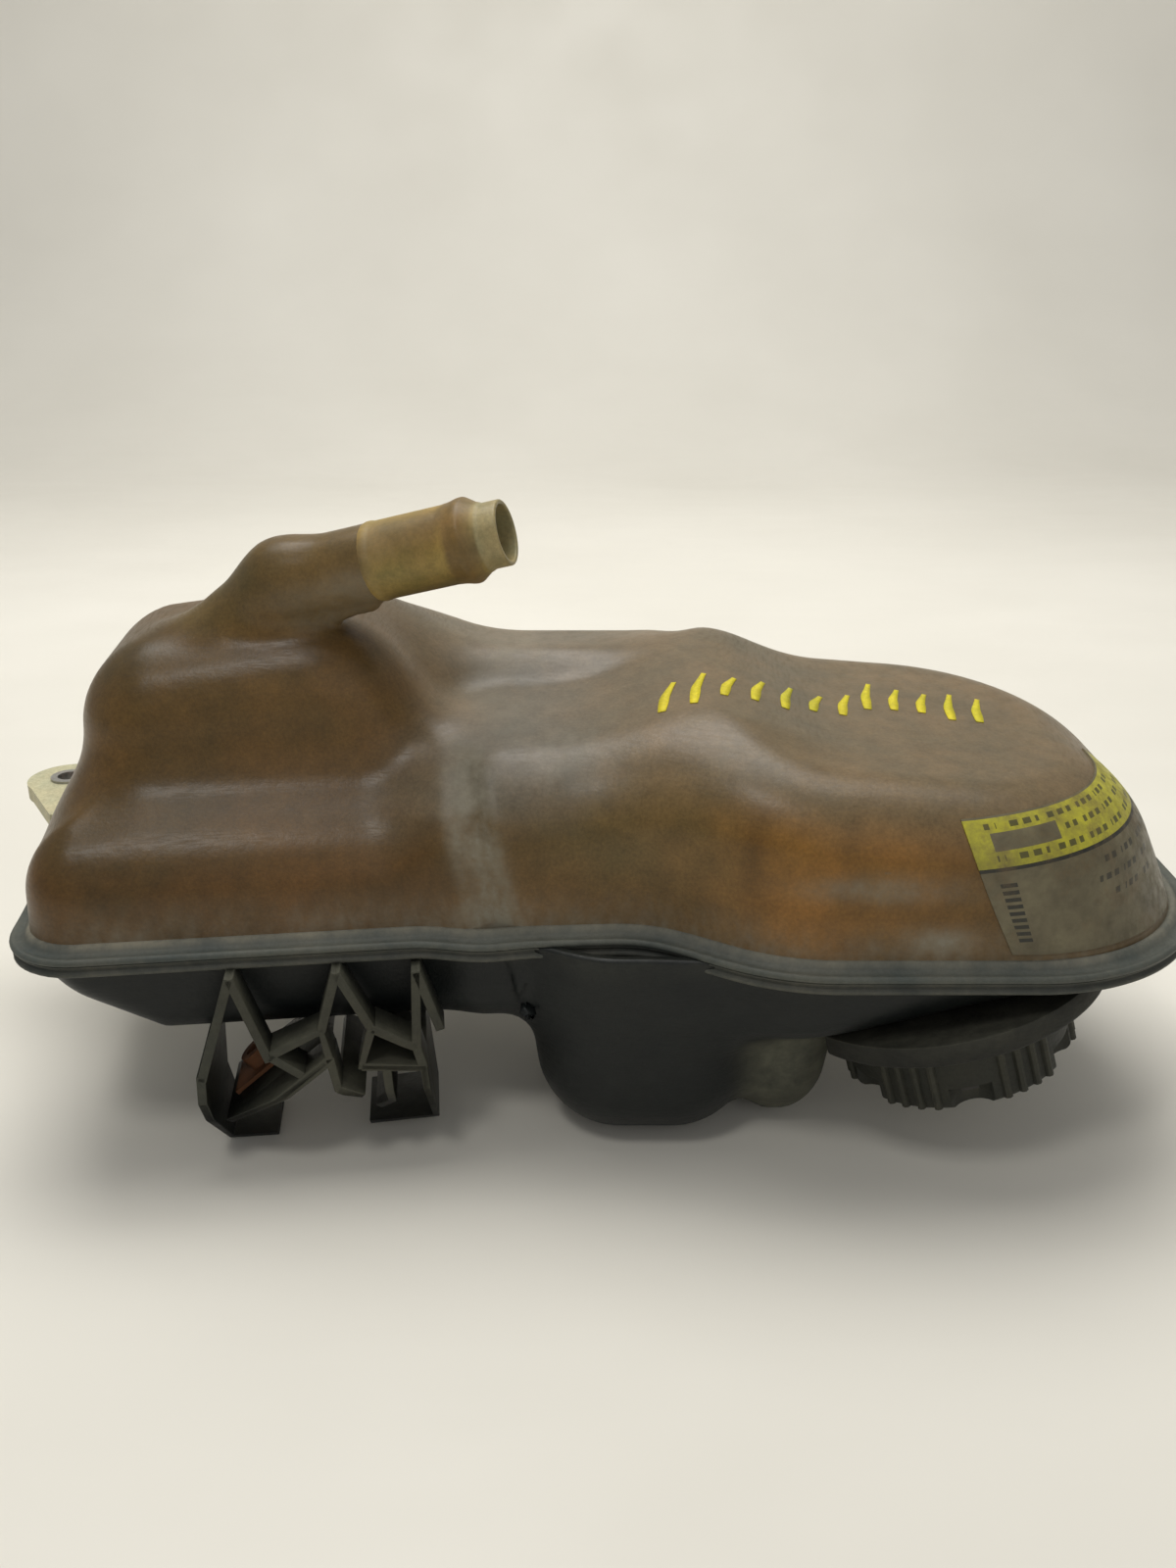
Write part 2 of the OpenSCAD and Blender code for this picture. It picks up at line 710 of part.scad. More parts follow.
natural_shell();
black_shell();
side_ear();
ear_bush();
hose_spigot();
baffles();
fill_label();
front_bracket();
clip_nut();
vent_nipple_large();
vent_nipple_small();
filler_neck();
neck_collar();
cap_grip();
cap_insert();
cap_disc();
cap_gasket();
valve_housing();
neck_seal();
spring_retainer();
pressure_spring();
pressure_valve();
pressure_seal();
vacuum_valve();
vacuum_spring();
vacuum_clip();
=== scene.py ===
import json
import math

import bmesh
import bpy
import numpy as np
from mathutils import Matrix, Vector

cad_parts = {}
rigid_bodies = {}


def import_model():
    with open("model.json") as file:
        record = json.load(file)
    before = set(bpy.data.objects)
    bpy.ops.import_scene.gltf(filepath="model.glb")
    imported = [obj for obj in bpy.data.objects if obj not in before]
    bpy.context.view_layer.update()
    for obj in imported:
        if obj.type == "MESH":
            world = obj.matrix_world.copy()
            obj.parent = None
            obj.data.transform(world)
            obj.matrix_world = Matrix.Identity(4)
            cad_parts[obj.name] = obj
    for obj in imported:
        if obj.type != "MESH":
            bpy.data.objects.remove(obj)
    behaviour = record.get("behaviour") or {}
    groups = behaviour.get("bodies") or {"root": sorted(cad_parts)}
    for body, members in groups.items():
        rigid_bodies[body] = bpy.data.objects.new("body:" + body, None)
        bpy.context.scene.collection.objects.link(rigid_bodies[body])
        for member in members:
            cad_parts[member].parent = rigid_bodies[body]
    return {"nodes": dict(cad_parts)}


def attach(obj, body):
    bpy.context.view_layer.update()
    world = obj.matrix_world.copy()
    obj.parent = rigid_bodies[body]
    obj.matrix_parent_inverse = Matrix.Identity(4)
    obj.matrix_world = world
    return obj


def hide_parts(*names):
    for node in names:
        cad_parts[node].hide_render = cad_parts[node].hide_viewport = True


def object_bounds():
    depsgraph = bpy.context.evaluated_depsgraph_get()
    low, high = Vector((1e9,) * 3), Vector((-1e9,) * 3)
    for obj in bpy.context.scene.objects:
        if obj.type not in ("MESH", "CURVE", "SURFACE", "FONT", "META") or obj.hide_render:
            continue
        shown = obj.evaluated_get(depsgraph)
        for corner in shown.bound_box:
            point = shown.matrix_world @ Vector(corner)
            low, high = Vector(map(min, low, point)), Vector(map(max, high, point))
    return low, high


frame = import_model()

import openvdb
from bpy.props import FloatProperty, FloatVectorProperty, IntProperty, PointerProperty
from mathutils import Matrix, Vector

bl_info = {
    "name": "Coolant expansion tank",
    "version": (1, 0, 0),
    "blender": (4, 5, 0),
    "location": "View3D > Sidebar > Tank",
    "description": "Builds an aged two-part coolant expansion tank around its packed frame",
    "category": "Add Mesh",
}

CAD_BOX = [list(corner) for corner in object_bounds()]

# The tank's own sizes are in millimetres, measured from a point on the floor under the middle
# of the shells. MIDDLE is where the frame's origin lies in them.
MM = 0.001
MIDDLE = np.array([-10.8, 20.1, 0.0])
WELD = 81.0
WALL = 3.0

# A lobe is (centre x, centre y, half length, half depth, corner radius, turn, top above or below
# the weld, slope in x, slope in y, edge radius, draft, end lean)
LEFT_BLOCK = (-107, 20, 80, 66, 18, 6.7, 41, 0, 0, 24, 0.05, 0)
TOWER = (-103, 28, 71, 48, 28, 6.7, 95, 0.12, 0, 26, 0.05, 0)
RIGHT_BODY = (108, 14, 92, 77, 62, 0, 58, -0.08, 0.04, 22, 0.06, -0.20)
MID_BODY = (5, 20, 58, 59, 20, 3, 64, 0.08, 0.16, 24, 0.06, 0)
BACK_BULGE = (-14, 58, 56, 28, 22, 0, 73, 0, 0, 16, 0.05, 0)
FRONT_DOME = (20, -6, 45, 49, 36, 0, WELD, 0, 0, 25, 0.13, 0)
SECOND_DOME = (66, 6, 26, 50, 24, 0, WELD, 0, 0, 22, 0.15, 0)
PAN_DEPTH = 35.0

TUBE_AT = np.array([-66.0, 0.0, WELD + 115])
TUBE_TURN = math.atan2(-8, 38.9)
TUBE_RISE = math.asin(10.3 / math.hypot(38.9, 8, 10.3))
TUBE_DIR = np.array([
    math.cos(TUBE_RISE) * math.cos(TUBE_TURN),
    math.cos(TUBE_RISE) * math.sin(TUBE_TURN),
    math.sin(TUBE_RISE)])
TUBE_R = 12.7

CREASE = ((-44, -16, 146), (-41, -26, 138), (-38, -39, 126), (-34, -45.5, 108), (-29, -44, 84))
CAP_AT = np.array([123.8, -18.0, WELD - 29.5])
CAP_LEAN_X = math.radians(-4.5)
CAP_LEAN_Y = math.radians(-16)
NECK_R = 26.0
COLLAR_R = 54.0
SEAT_GAP = 8.6
GRIP_R = 38.0
GRIP_LOW = -26.0
GRIP_TOP = -5.0
GRIP_GROUPS = 6
GRIP_TURN = 24.0

BRACKET_TURN = math.radians(6.7)
BRACKET_PIVOT = np.array([-95.0, 0.0, 0.0])
BRACKET_FRONT = -57.0
RIB_T = 3.0


# ---- Numbers and distances -------------------------------------------------------------------

def smooth_min(a, b, k):
    h = np.maximum(k - np.abs(a - b), 0) / k
    return np.minimum(a, b) - h * h * k / 4


def smooth_max(a, b, k):
    return -smooth_min(-a, -b, k)


def step(x, low, high):
    t = np.clip((x - low) / (high - low), 0, 1)
    return t * t * (3 - 2 * t)


def bell(x, middle, width):
    return np.exp(-((x - middle) / width) ** 2)


def rectangle(x, y, half_x, half_y, corner, turn):
    c, s = math.cos(math.radians(turn)), math.sin(math.radians(turn))
    u = np.abs(x * c + y * s) - half_x + corner
    v = np.abs(y * c - x * s) - half_y + corner
    return np.hypot(np.maximum(u, 0), np.maximum(v, 0)) + np.minimum(np.maximum(u, v), 0) - corner


def rounded_edge(a, b, r):
    inner = np.minimum(np.maximum(a + r, b + r), 0)
    return inner + np.hypot(np.maximum(a + r, 0), np.maximum(b + r, 0)) - r


def spread(t):
    """Blends widen with height above the weld, so the outline at the weld stays as it is."""
    return np.clip((t - 12) / 28, 0, 1)


def lobe(shape, p, t):
    cx, cy, hx, hy, corner, turn, top, slope_x, slope_y, edge, draft, lean = shape
    x, y = p[0] - cx, p[1] - cy
    side = rectangle(x - lean * t, y, hx - abs(lean) * t, hy, corner, turn) + draft * t
    return rounded_edge(side, t - top - slope_x * x - slope_y * y, edge)


def capsule(p, a, b, r):
    a, b = np.asarray(a, float), np.asarray(b, float)
    d = b - a
    s = sum((p[i] - a[i]) * d[i] for i in range(3)) / (d @ d)
    s = np.clip(s, 0, 1)
    return np.sqrt(sum((p[i] - a[i] - s * d[i]) ** 2 for i in range(3))) - r


def body_outline(p):
    """Natural half without the hose ridge and its fine features."""
    t = p[2] - WELD
    flank = (p[0] + 75) * 0.829 + (t - TOWER[6] - 4) * 0.56
    top = smooth_max(lobe(TOWER, p, t), flank, 24)
    left = smooth_min(lobe(LEFT_BLOCK, p, t), top, 22)
    main = smooth_min(lobe(RIGHT_BODY, p, t), lobe(MID_BODY, p, t), 18 + 14 * spread(t))
    main = smooth_min(main, lobe(BACK_BULGE, p, t), 6)
    return smooth_min(left, main, 14 + 16 * spread(t))


def crease(p):
    """Distance to the crease down the front, where the tower's block meets the body."""
    d = capsule(p, CREASE[0], CREASE[1], 4.2)
    for a, b in zip(CREASE[1:], CREASE[2:]):
        d = np.minimum(d, capsule(p, a, b, 4.2))
    return d


def natural_half(p):
    """Natural half with the hose ridge, the seam rib under it and the crease in its front."""
    d = body_outline(p)
    knee = TUBE_AT - 34 * TUBE_DIR
    ridge = capsule(p, knee, TUBE_AT - 2 * TUBE_DIR, TUBE_R - 0.2)
    ridge = smooth_min(ridge, capsule(p, knee, knee + (-34, 6, -27), TUBE_R - 0.2), 10)
    d = smooth_min(d, ridge, 8)
    seam_low = np.array([0, 0, 13.5])
    fin = capsule(p, TUBE_AT - 34 * TUBE_DIR - seam_low, TUBE_AT - 4 * TUBE_DIR - seam_low, 2.2)
    d = smooth_min(d, fin, 4)
    d = smooth_max(d, -crease(p), 6)
    return smooth_max(d, -capsule(p, TUBE_AT - 36 * TUBE_DIR, TUBE_AT + 20 * TUBE_DIR, 8.6), 1)


def outline(x, y):
    return body_outline((x, y, np.full_like(x, WELD)))


def black_half(p):
    """Pan with its two domes; the pan turns square to the cap at the right."""
    t = WELD - p[2]
    out = cap_axes() @ np.array([0, 0, -1.0])
    seat = CAP_AT - SEAT_GAP * out
    rise = (out[0] * (p[0] - seat[0]) + out[1] * (p[1] - seat[1])) / -out[2]
    flat = WELD - PAN_DEPTH + 0.6 * np.maximum(-140 - p[0], 0)
    bottom = smooth_max(flat, seat[2] + rise, 8)
    d = rounded_edge(outline(p[0], p[1]) + 0.12 * t, bottom - p[2], 14)
    d = smooth_min(d, lobe(FRONT_DOME, p, t), 14)
    d = smooth_min(d, lobe(SECOND_DOME, p, t), 10)
    d = smooth_min(d, capsule(p, (-25, -42.6, 78), (-20, -43, 52), 1.3), 2)
    return smooth_min(d, capsule(p, (137, -52, 58), (138, -50, 57), 3), 3)


def cap_axes():
    cx, sx = math.cos(CAP_LEAN_X), math.sin(CAP_LEAN_X)
    cy, sy = math.cos(CAP_LEAN_Y), math.sin(CAP_LEAN_Y)
    tip = np.array([[1, 0, 0], [0, cx, -sx], [0, sx, cx]])
    lean = np.array([[cy, 0, sy], [0, 1, 0], [-sy, 0, cy]])
    return lean @ tip


def tube_axes():
    side = np.cross([0, 0, 1.0], TUBE_DIR)
    side /= np.linalg.norm(side)
    return np.column_stack([side, np.cross(TUBE_DIR, side), TUBE_DIR])


def bracket_axes():
    c, s = math.cos(BRACKET_TURN), math.sin(BRACKET_TURN)
    return np.array([[c, -s, 0], [s, c, 0], [0, 0, 1.0]])


def gradient(field, p, h=0.25):
    g = []
    for i in range(3):
        ahead, behind = list(p), list(p)
        ahead[i] = p[i] + h
        behind[i] = p[i] - h
        g.append((field(ahead) - field(behind)) / (2 * h))
    return np.stack(g, -1)


def settle(field, points, level=0.0, rounds=4, most=2.0):
    """Moves points along the field's slope until they lie on the skin."""
    points = points.copy()
    for _ in range(rounds):
        g = gradient(field, points.T)
        d = field(points.T) - level
        move = (d / np.maximum((g * g).sum(1), 0.05))[:, None] * g
        size = np.linalg.norm(move, axis=1, keepdims=True)
        points -= move * np.minimum(1, most / np.maximum(size, 1e-9))
    return points


def skin(field, low, high, cell):
    """Quads on the skin of a distance field, in its own millimetres."""
    axes = [np.arange(a, b + cell, cell) for a, b in zip(low, high)]
    p = np.meshgrid(*axes, indexing="ij")
    grid = openvdb.FloatGrid(4 * cell)
    grid.copyFromArray(field(p).astype(np.float32))
    points, quads = grid.convertToQuads()
    points = points.astype(float) * cell + np.array(low, float)
    return settle(field, points, most=cell), quads


# ---- Meshes ----------------------------------------------------------------------------------

def place(points):
    """Tank millimetres to the frame's metres."""
    return (np.asarray(points, float) - MIDDLE) * MM


def back(points):
    return np.asarray(points, float) / MM + MIDDLE


def vertex_array(mesh):
    flat = np.empty(len(mesh.vertices) * 3)
    mesh.vertices.foreach_get("co", flat)
    return flat.reshape(-1, 3)


def normal_array(mesh):
    flat = np.empty(len(mesh.vertices) * 3, np.float32)
    mesh.vertex_normals.foreach_get("vector", flat)
    return flat.reshape(-1, 3).astype(float)


def new_piece(name, points, faces, smooth=True):
    mesh = bpy.data.meshes.new(name)
    mesh.from_pydata([tuple(p) for p in place(points)], [], [tuple(int(i) for i in f) for f in faces])
    mesh.update()
    if smooth:
        mesh.shade_smooth()
    piece = bpy.data.objects.new(name, mesh)
    bpy.context.scene.collection.objects.link(piece)
    return piece


def outward(piece):
    bm = bmesh.new()
    bm.from_mesh(piece.data)
    bmesh.ops.remove_doubles(bm, verts=bm.verts, dist=1e-6)
    bmesh.ops.recalc_face_normals(bm, faces=bm.faces)
    bm.to_mesh(piece.data)
    bm.free()
    return piece


def keep_side(piece, side):
    """Cuts a piece at the weld plane and keeps the part above (1) or below (-1) it."""
    bm = bmesh.new()
    bm.from_mesh(piece.data)
    bmesh.ops.bisect_plane(
        bm, geom=bm.verts[:] + bm.edges[:] + bm.faces[:], dist=1e-7,
        plane_co=(0, 0, WELD * MM), plane_no=(0, 0, side), clear_inner=True)
    bm.to_mesh(piece.data)
    bm.free()


def cut_away(piece, at, way):
    """Cuts off what lies past a plane and closes the cut ends."""
    bm = bmesh.new()
    bm.from_mesh(piece.data)
    cut = bmesh.ops.bisect_plane(
        bm, geom=bm.verts[:] + bm.edges[:] + bm.faces[:], dist=1e-7, plane_co=place(at),
        plane_no=np.asarray(way, float), clear_outer=True)
    edges = [item for item in cut["geom_cut"] if isinstance(item, bmesh.types.BMEdge)]
    bmesh.ops.holes_fill(bm, edges=edges)
    bm.to_mesh(piece.data)
    bm.free()


def apply_modifiers(piece):
    """Turns a piece with live modifiers into a plain mesh."""
    evaluated = piece.evaluated_get(bpy.context.evaluated_depsgraph_get())
    mesh = bpy.data.meshes.new_from_object(evaluated)
    piece.modifiers.clear()
    piece.data = mesh
    return piece


def join(name, pieces):
    """Joins pieces into one mesh, keeping their material slots."""
    bpy.ops.object.select_all(action="DESELECT")
    for piece in pieces:
        piece.select_set(True)
    bpy.context.view_layer.objects.active = pieces[0]
    bpy.ops.object.join()
    pieces[0].name = name
    pieces[0].data.name = name
    return pieces[0]


def ring_strip(rows, closed_rows=True):
    """Quads between rows of points that each run round a loop."""
    count = len(rows[0])
    n_rows = len(rows)
    faces = []
    for j in range(n_rows if closed_rows else n_rows - 1):
        a, b = j * count, ((j + 1) % n_rows) * count
        for i in range(count):
            k = (i + 1) % count
            faces.append((a + i, a + k, b + k, b + i))
    return np.concatenate(rows), faces


def revolve(profile, steps):
    """Closed profile of (radius, height) turned about Z."""
    a = np.linspace(0, 2 * np.pi, steps, endpoint=False)
    rows = [np.stack([r * np.cos(a), r * np.sin(a), np.full(steps, z)], -1) for r, z in profile]
    return ring_strip(rows)


def round_corners(profile, r, steps=3):
    """Rounds each corner of a closed profile with an arc-like curve."""
    points = [np.array(q, float) for q in profile]
    out = []
    for i, q in enumerate(points):
        before, after = points[i - 1] - q, points[(i + 1) % len(points)] - q
        la, lb = np.linalg.norm(before), np.linalg.norm(after)
        cut = min(r, 0.45 * la, 0.45 * lb)
        a, b = q + before / la * cut, q + after / lb * cut
        for s in np.linspace(0, 1, steps + 1):
            out.append((1 - s) ** 2 * a + 2 * s * (1 - s) * q + s * s * b)
    return out


def paint(piece, tint, dust):
    """Stores the tint (rows of RGB) and dust (0 to 1) of each vertex."""
    mesh = piece.data
    n = len(mesh.vertices)
    for name in ("tint", "dust"):
        if name in mesh.attributes:
            mesh.attributes.remove(mesh.attributes[name])
    colours = np.ones((n, 4), np.float32)
    colours[:, :3] = np.broadcast_to(tint, (n, 3))
    layer = mesh.attributes.new("tint", "FLOAT_COLOR", "POINT")
    layer.data.foreach_set("color", colours.ravel())
    layer = mesh.attributes.new("dust", "FLOAT", "POINT")
    layer.data.foreach_set("value", np.broadcast_to(dust, (n,)).astype(np.float32).copy())


def linear(r, g, b):
    """sRGB of 0 to 255 as linear RGB."""
    c = np.array([r, g, b]) / 255
    return np.where(c <= 0.04045, c / 12.92, ((c + 0.055) / 1.055) ** 2.4)


def mix(a, b, t):
    t = np.asarray(t)[..., None]
    return a * (1 - t) + b * t


def finish_piece(piece, material, body, nodes=()):
    if material is not None:
        piece.data.materials.clear()
        piece.data.materials.append(material)
    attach(piece, body)
    if nodes:
        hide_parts(*nodes)
    return piece


# ---- Materials -------------------------------------------------------------------------------

class Shader:
    """A material's node tree with short ways to add and link nodes."""

    def __init__(self, name):
        self.material = bpy.data.materials.new(name)
        self.material.use_nodes = True
        self.tree = self.material.node_tree
        self.bsdf = self.tree.nodes["Principled BSDF"]

    def node(self, kind, settings=None, **inputs):
        node = self.tree.nodes.new(kind)
        for key, value in (settings or {}).items():
            setattr(node, key, value)
        for key, value in inputs.items():
            self.feed(node.inputs[key.replace("_", " ")], value)
        return node

    def feed(self, socket, value):
        if isinstance(value, bpy.types.NodeSocket):
            self.tree.links.new(value, socket)
        else:
            socket.default_value = value

    def noise(self, scale, detail=4.0, roughness=0.55, stretch=(1, 1, 1)):
        coordinates = self.node("ShaderNodeTexCoord").outputs["Object"]
        mapping = self.node("ShaderNodeMapping", Vector=coordinates, Scale=stretch)
        texture = self.node(
            "ShaderNodeTexNoise", Vector=mapping.outputs[0], Scale=scale, Detail=detail, Roughness=roughness)
        return texture.outputs["Fac"]

    def ramp(self, value, low, high, to_low=0.0, to_high=1.0):
        node = self.node("ShaderNodeMapRange", Value=value)
        node.inputs["From Min"].default_value = low
        node.inputs["From Max"].default_value = high
        node.inputs["To Min"].default_value = to_low
        node.inputs["To Max"].default_value = to_high
        return node.outputs[0]

    def math(self, operation, a, b=0.0):
        node = self.node("ShaderNodeMath", {"operation": operation})
        self.feed(node.inputs[0], a)
        self.feed(node.inputs[1], b)
        return node.outputs[0]

    def blend(self, factor, a, b, kind="MIX"):
        node = self.node("ShaderNodeMix", {"data_type": "RGBA", "blend_type": kind})
        self.feed(node.inputs[0], factor)
        self.feed(node.inputs[6], a if isinstance(a, bpy.types.NodeSocket) else tuple(a) + (1.0,))
        self.feed(node.inputs[7], b if isinstance(b, bpy.types.NodeSocket) else tuple(b) + (1.0,))
        return node.outputs[2]

    def bump(self, height, strength, distance):
        node = self.node("ShaderNodeBump", Height=height)
        node.inputs["Strength"].default_value = strength
        node.inputs["Distance"].default_value = distance
        self.feed(self.bsdf.inputs["Normal"], node.outputs[0])


def aged_plastic(name, dust_colour, rough=0.38, dusty_rough=0.75, grain=900.0, blotch=22.0, tint=None,
                 dust=None, contrast=0.30, bump=0.12, subsurface=0.0):
    """Moulded plastic with blotches, fine grain, scratches and dust where the dust mask says."""
    s = Shader(name)
    colour = tuple(tint) + (1.0,) if tint is not None else None
    if colour is None:
        base = s.node("ShaderNodeAttribute", {"attribute_name": "tint"}).outputs["Color"]
    else:
        base = colour
    mask = dust
    if mask is None:
        mask = s.node("ShaderNodeAttribute", {"attribute_name": "dust"}).outputs["Fac"]
    large = s.noise(blotch, 5.0, 0.6)
    fine = s.noise(grain * 0.35, 3.0, 0.6)
    speck = s.noise(grain, 2.0, 0.7)
    cool = tuple(1 - contrast * k for k in (1.0, 0.75, 0.6))
    warm = tuple(1 + contrast * k for k in (1.0, 0.55, 0.2))
    varied = s.node("ShaderNodeVectorMath", {"operation": "MULTIPLY"})
    s.feed(varied.inputs[0], base if isinstance(base, bpy.types.NodeSocket) else tuple(tint))
    s.feed(varied.inputs[1], s.blend(s.ramp(large, 0.3, 0.7), cool, warm))
    grained = s.node("ShaderNodeVectorMath", {"operation": "SCALE"})
    s.feed(grained.inputs[0], varied.outputs[0])
    mottle = s.ramp(s.noise(130.0, 5.0, 0.65), 0.3, 0.7, 0.84, 1.16)
    s.feed(grained.inputs["Scale"], s.math("MULTIPLY", s.ramp(speck, 0.3, 0.7, 0.84, 1.14), mottle))
    patch = s.math("MULTIPLY", s.ramp(s.noise(60.0, 6.0, 0.7), 0.35, 0.62), s.ramp(fine, 0.2, 0.8, 0.5, 1.3))
    dusted = s.math("MULTIPLY", mask, s.ramp(patch, 0.0, 1.0, 0.35, 1.25))
    dusted = s.math("MINIMUM", dusted, 0.92)
    s.feed(s.bsdf.inputs["Base Color"], s.blend(dusted, grained.outputs[0], dust_colour))
    scratch = s.ramp(s.noise(160.0, 3.0, 0.5, (1, 1, 14)), 0.45, 0.75, 0.0, 0.12)
    roughness = s.math("ADD", s.ramp(dusted, 0.0, 0.8, rough, dusty_rough), scratch)
    s.feed(s.bsdf.inputs["Roughness"], roughness)
    s.bsdf.inputs["Specular IOR Level"].default_value = 0.3
    if subsurface:
        s.bsdf.inputs["Subsurface Weight"].default_value = subsurface
        s.bsdf.inputs["Subsurface Radius"].default_value = (0.012, 0.006, 0.002)
        s.bsdf.inputs["Subsurface Scale"].default_value = 0.4
    s.bump(s.math("ADD", s.math("MULTIPLY", speck, 0.5), fine), bump, 0.0006)
    return s.material


def metal(name, tint, rough, rust=0.0):
    s = Shader(name)
    flakes = s.noise(700.0, 4.0, 0.65)
    rusty = s.ramp(s.noise(180.0, 6.0, 0.7), 0.55 - 0.5 * rust, 0.75 - 0.5 * rust)
    colour = s.blend(rusty, tint, (0.19, 0.075, 0.028))
    flaked = s.blend(s.ramp(flakes, 0.3, 0.8, 0.0, 0.35), colour, (0.08, 0.05, 0.035))
    s.feed(s.bsdf.inputs["Base Color"], flaked)
    s.feed(s.bsdf.inputs["Metallic"], s.ramp(rusty, 0.0, 1.0, 1.0, 0.1))
    s.feed(s.bsdf.inputs["Roughness"], s.ramp(rusty, 0.0, 1.0, rough, 0.8))
    s.bump(flakes, 0.25, 0.0005)
    return s.material


def rubber(name, tint):
    s = Shader(name)
    fine = s.noise(800.0, 3.0, 0.6)
    s.feed(s.bsdf.inputs["Base Color"], s.blend(s.ramp(fine, 0.4, 0.8, 0.0, 0.4), tint, (0.06, 0.06, 0.055)))
    s.feed(s.bsdf.inputs["Roughness"], s.ramp(fine, 0.2, 0.8, 0.55, 0.8))
    s.bump(fine, 0.15, 0.0003)
    return s.material


def label_film(name):
    """Printed label: yellow band, rule, dim field with generic bars, grime. It follows the UV map."""
    s = Shader(name)
    uv = s.node("ShaderNodeUVMap").outputs[0]
    split = s.node("ShaderNodeSeparateXYZ", Vector=uv)
    u, v = split.outputs[0], split.outputs[1]
    grime = s.ramp(s.noise(70.0, 5.0, 0.65), 0.35, 0.7)
    paper = s.blend(grime, tuple(linear(112, 104, 78)), tuple(linear(84, 76, 55)))
    faded = s.ramp(s.noise(90.0, 5.0, 0.7), 0.4, 0.75)
    yellow = s.blend(faded, tuple(linear(178, 172, 45)), tuple(linear(128, 118, 50)))
    ink = tuple(linear(32, 32, 26))

    def window(value, low, high):
        return s.math("MULTIPLY", s.math("GREATER_THAN", value, low), s.math("LESS_THAN", value, high))

    colour = paper
    colour = s.blend(window(v, 0.66, 0.985), colour, yellow)
    colour = s.blend(s.math("MULTIPLY", window(u, 0.06, 0.27), window(v, 0.765, 0.885)), colour, paper)
    colour = s.blend(window(v, 0.635, 0.66), colour, ink)
    blocks = s.math("GREATER_THAN", s.math("SINE", s.math("MULTIPLY", u, 150.0)), -0.35)
    gaps = s.math("GREATER_THAN", s.math("SINE", s.math("MULTIPLY", u, 47.0)), -0.72)
    bars = s.math("MULTIPLY", blocks, gaps)
    for low, high, start, end in (
            (0.91, 0.95, 0.05, 0.80), (0.81, 0.85, 0.30, 0.92), (0.70, 0.74, 0.06, 0.86),
            (0.53, 0.57, 0.42, 0.90), (0.42, 0.46, 0.36, 0.80), (0.31, 0.35, 0.45, 0.74)):
        line = s.math("MULTIPLY", window(v, low, high), window(u, start, end))
        colour = s.blend(s.math("MULTIPLY", s.math("MULTIPLY", line, bars), 0.8), colour, ink)
    ticks = s.math("GREATER_THAN", s.math("SINE", s.math("MULTIPLY", v, 120.0)), -0.2)
    strip = s.math("MULTIPLY", window(u, 0.045, 0.095), window(v, 0.08, 0.56))
    colour = s.blend(s.math("MULTIPLY", strip, ticks), colour, ink)
    wear = s.ramp(s.noise(38.0, 6.0, 0.75), 0.52, 0.62)
    grime = s.ramp(s.noise(220.0, 5.0, 0.7), 0.4, 0.8, 0.0, 0.55)
    colour = s.blend(s.math("MULTIPLY", wear, 0.45), colour, tuple(linear(104, 84, 54)))
    colour = s.blend(grime, colour, tuple(linear(72, 66, 48)))
    s.feed(s.bsdf.inputs["Base Color"], colour)
    s.feed(s.bsdf.inputs["Roughness"], s.ramp(grime, 0.0, 0.5, 0.35, 0.7))
    s.bump(s.noise(300.0, 4.0, 0.6), 0.15, 0.0004)
    return s.material


def floor_sheet(name):
    s = Shader(name)
    wide = s.noise(2.2, 4.0, 0.5)
    creases = s.noise(9.0, 3.0, 0.45, (1.0, 2.2, 1.0))
    clouded = s.blend(s.ramp(wide, 0.3, 0.7), (0.76, 0.735, 0.665), (0.69, 0.665, 0.595))
    s.feed(s.bsdf.inputs["Base Color"], clouded)
    s.feed(s.bsdf.inputs["Roughness"], s.ramp(creases, 0.3, 0.7, 0.45, 0.65))
    s.bump(creases, 0.25, 0.004)
    return s.material


# ---- Geometry Nodes --------------------------------------------------------------------------

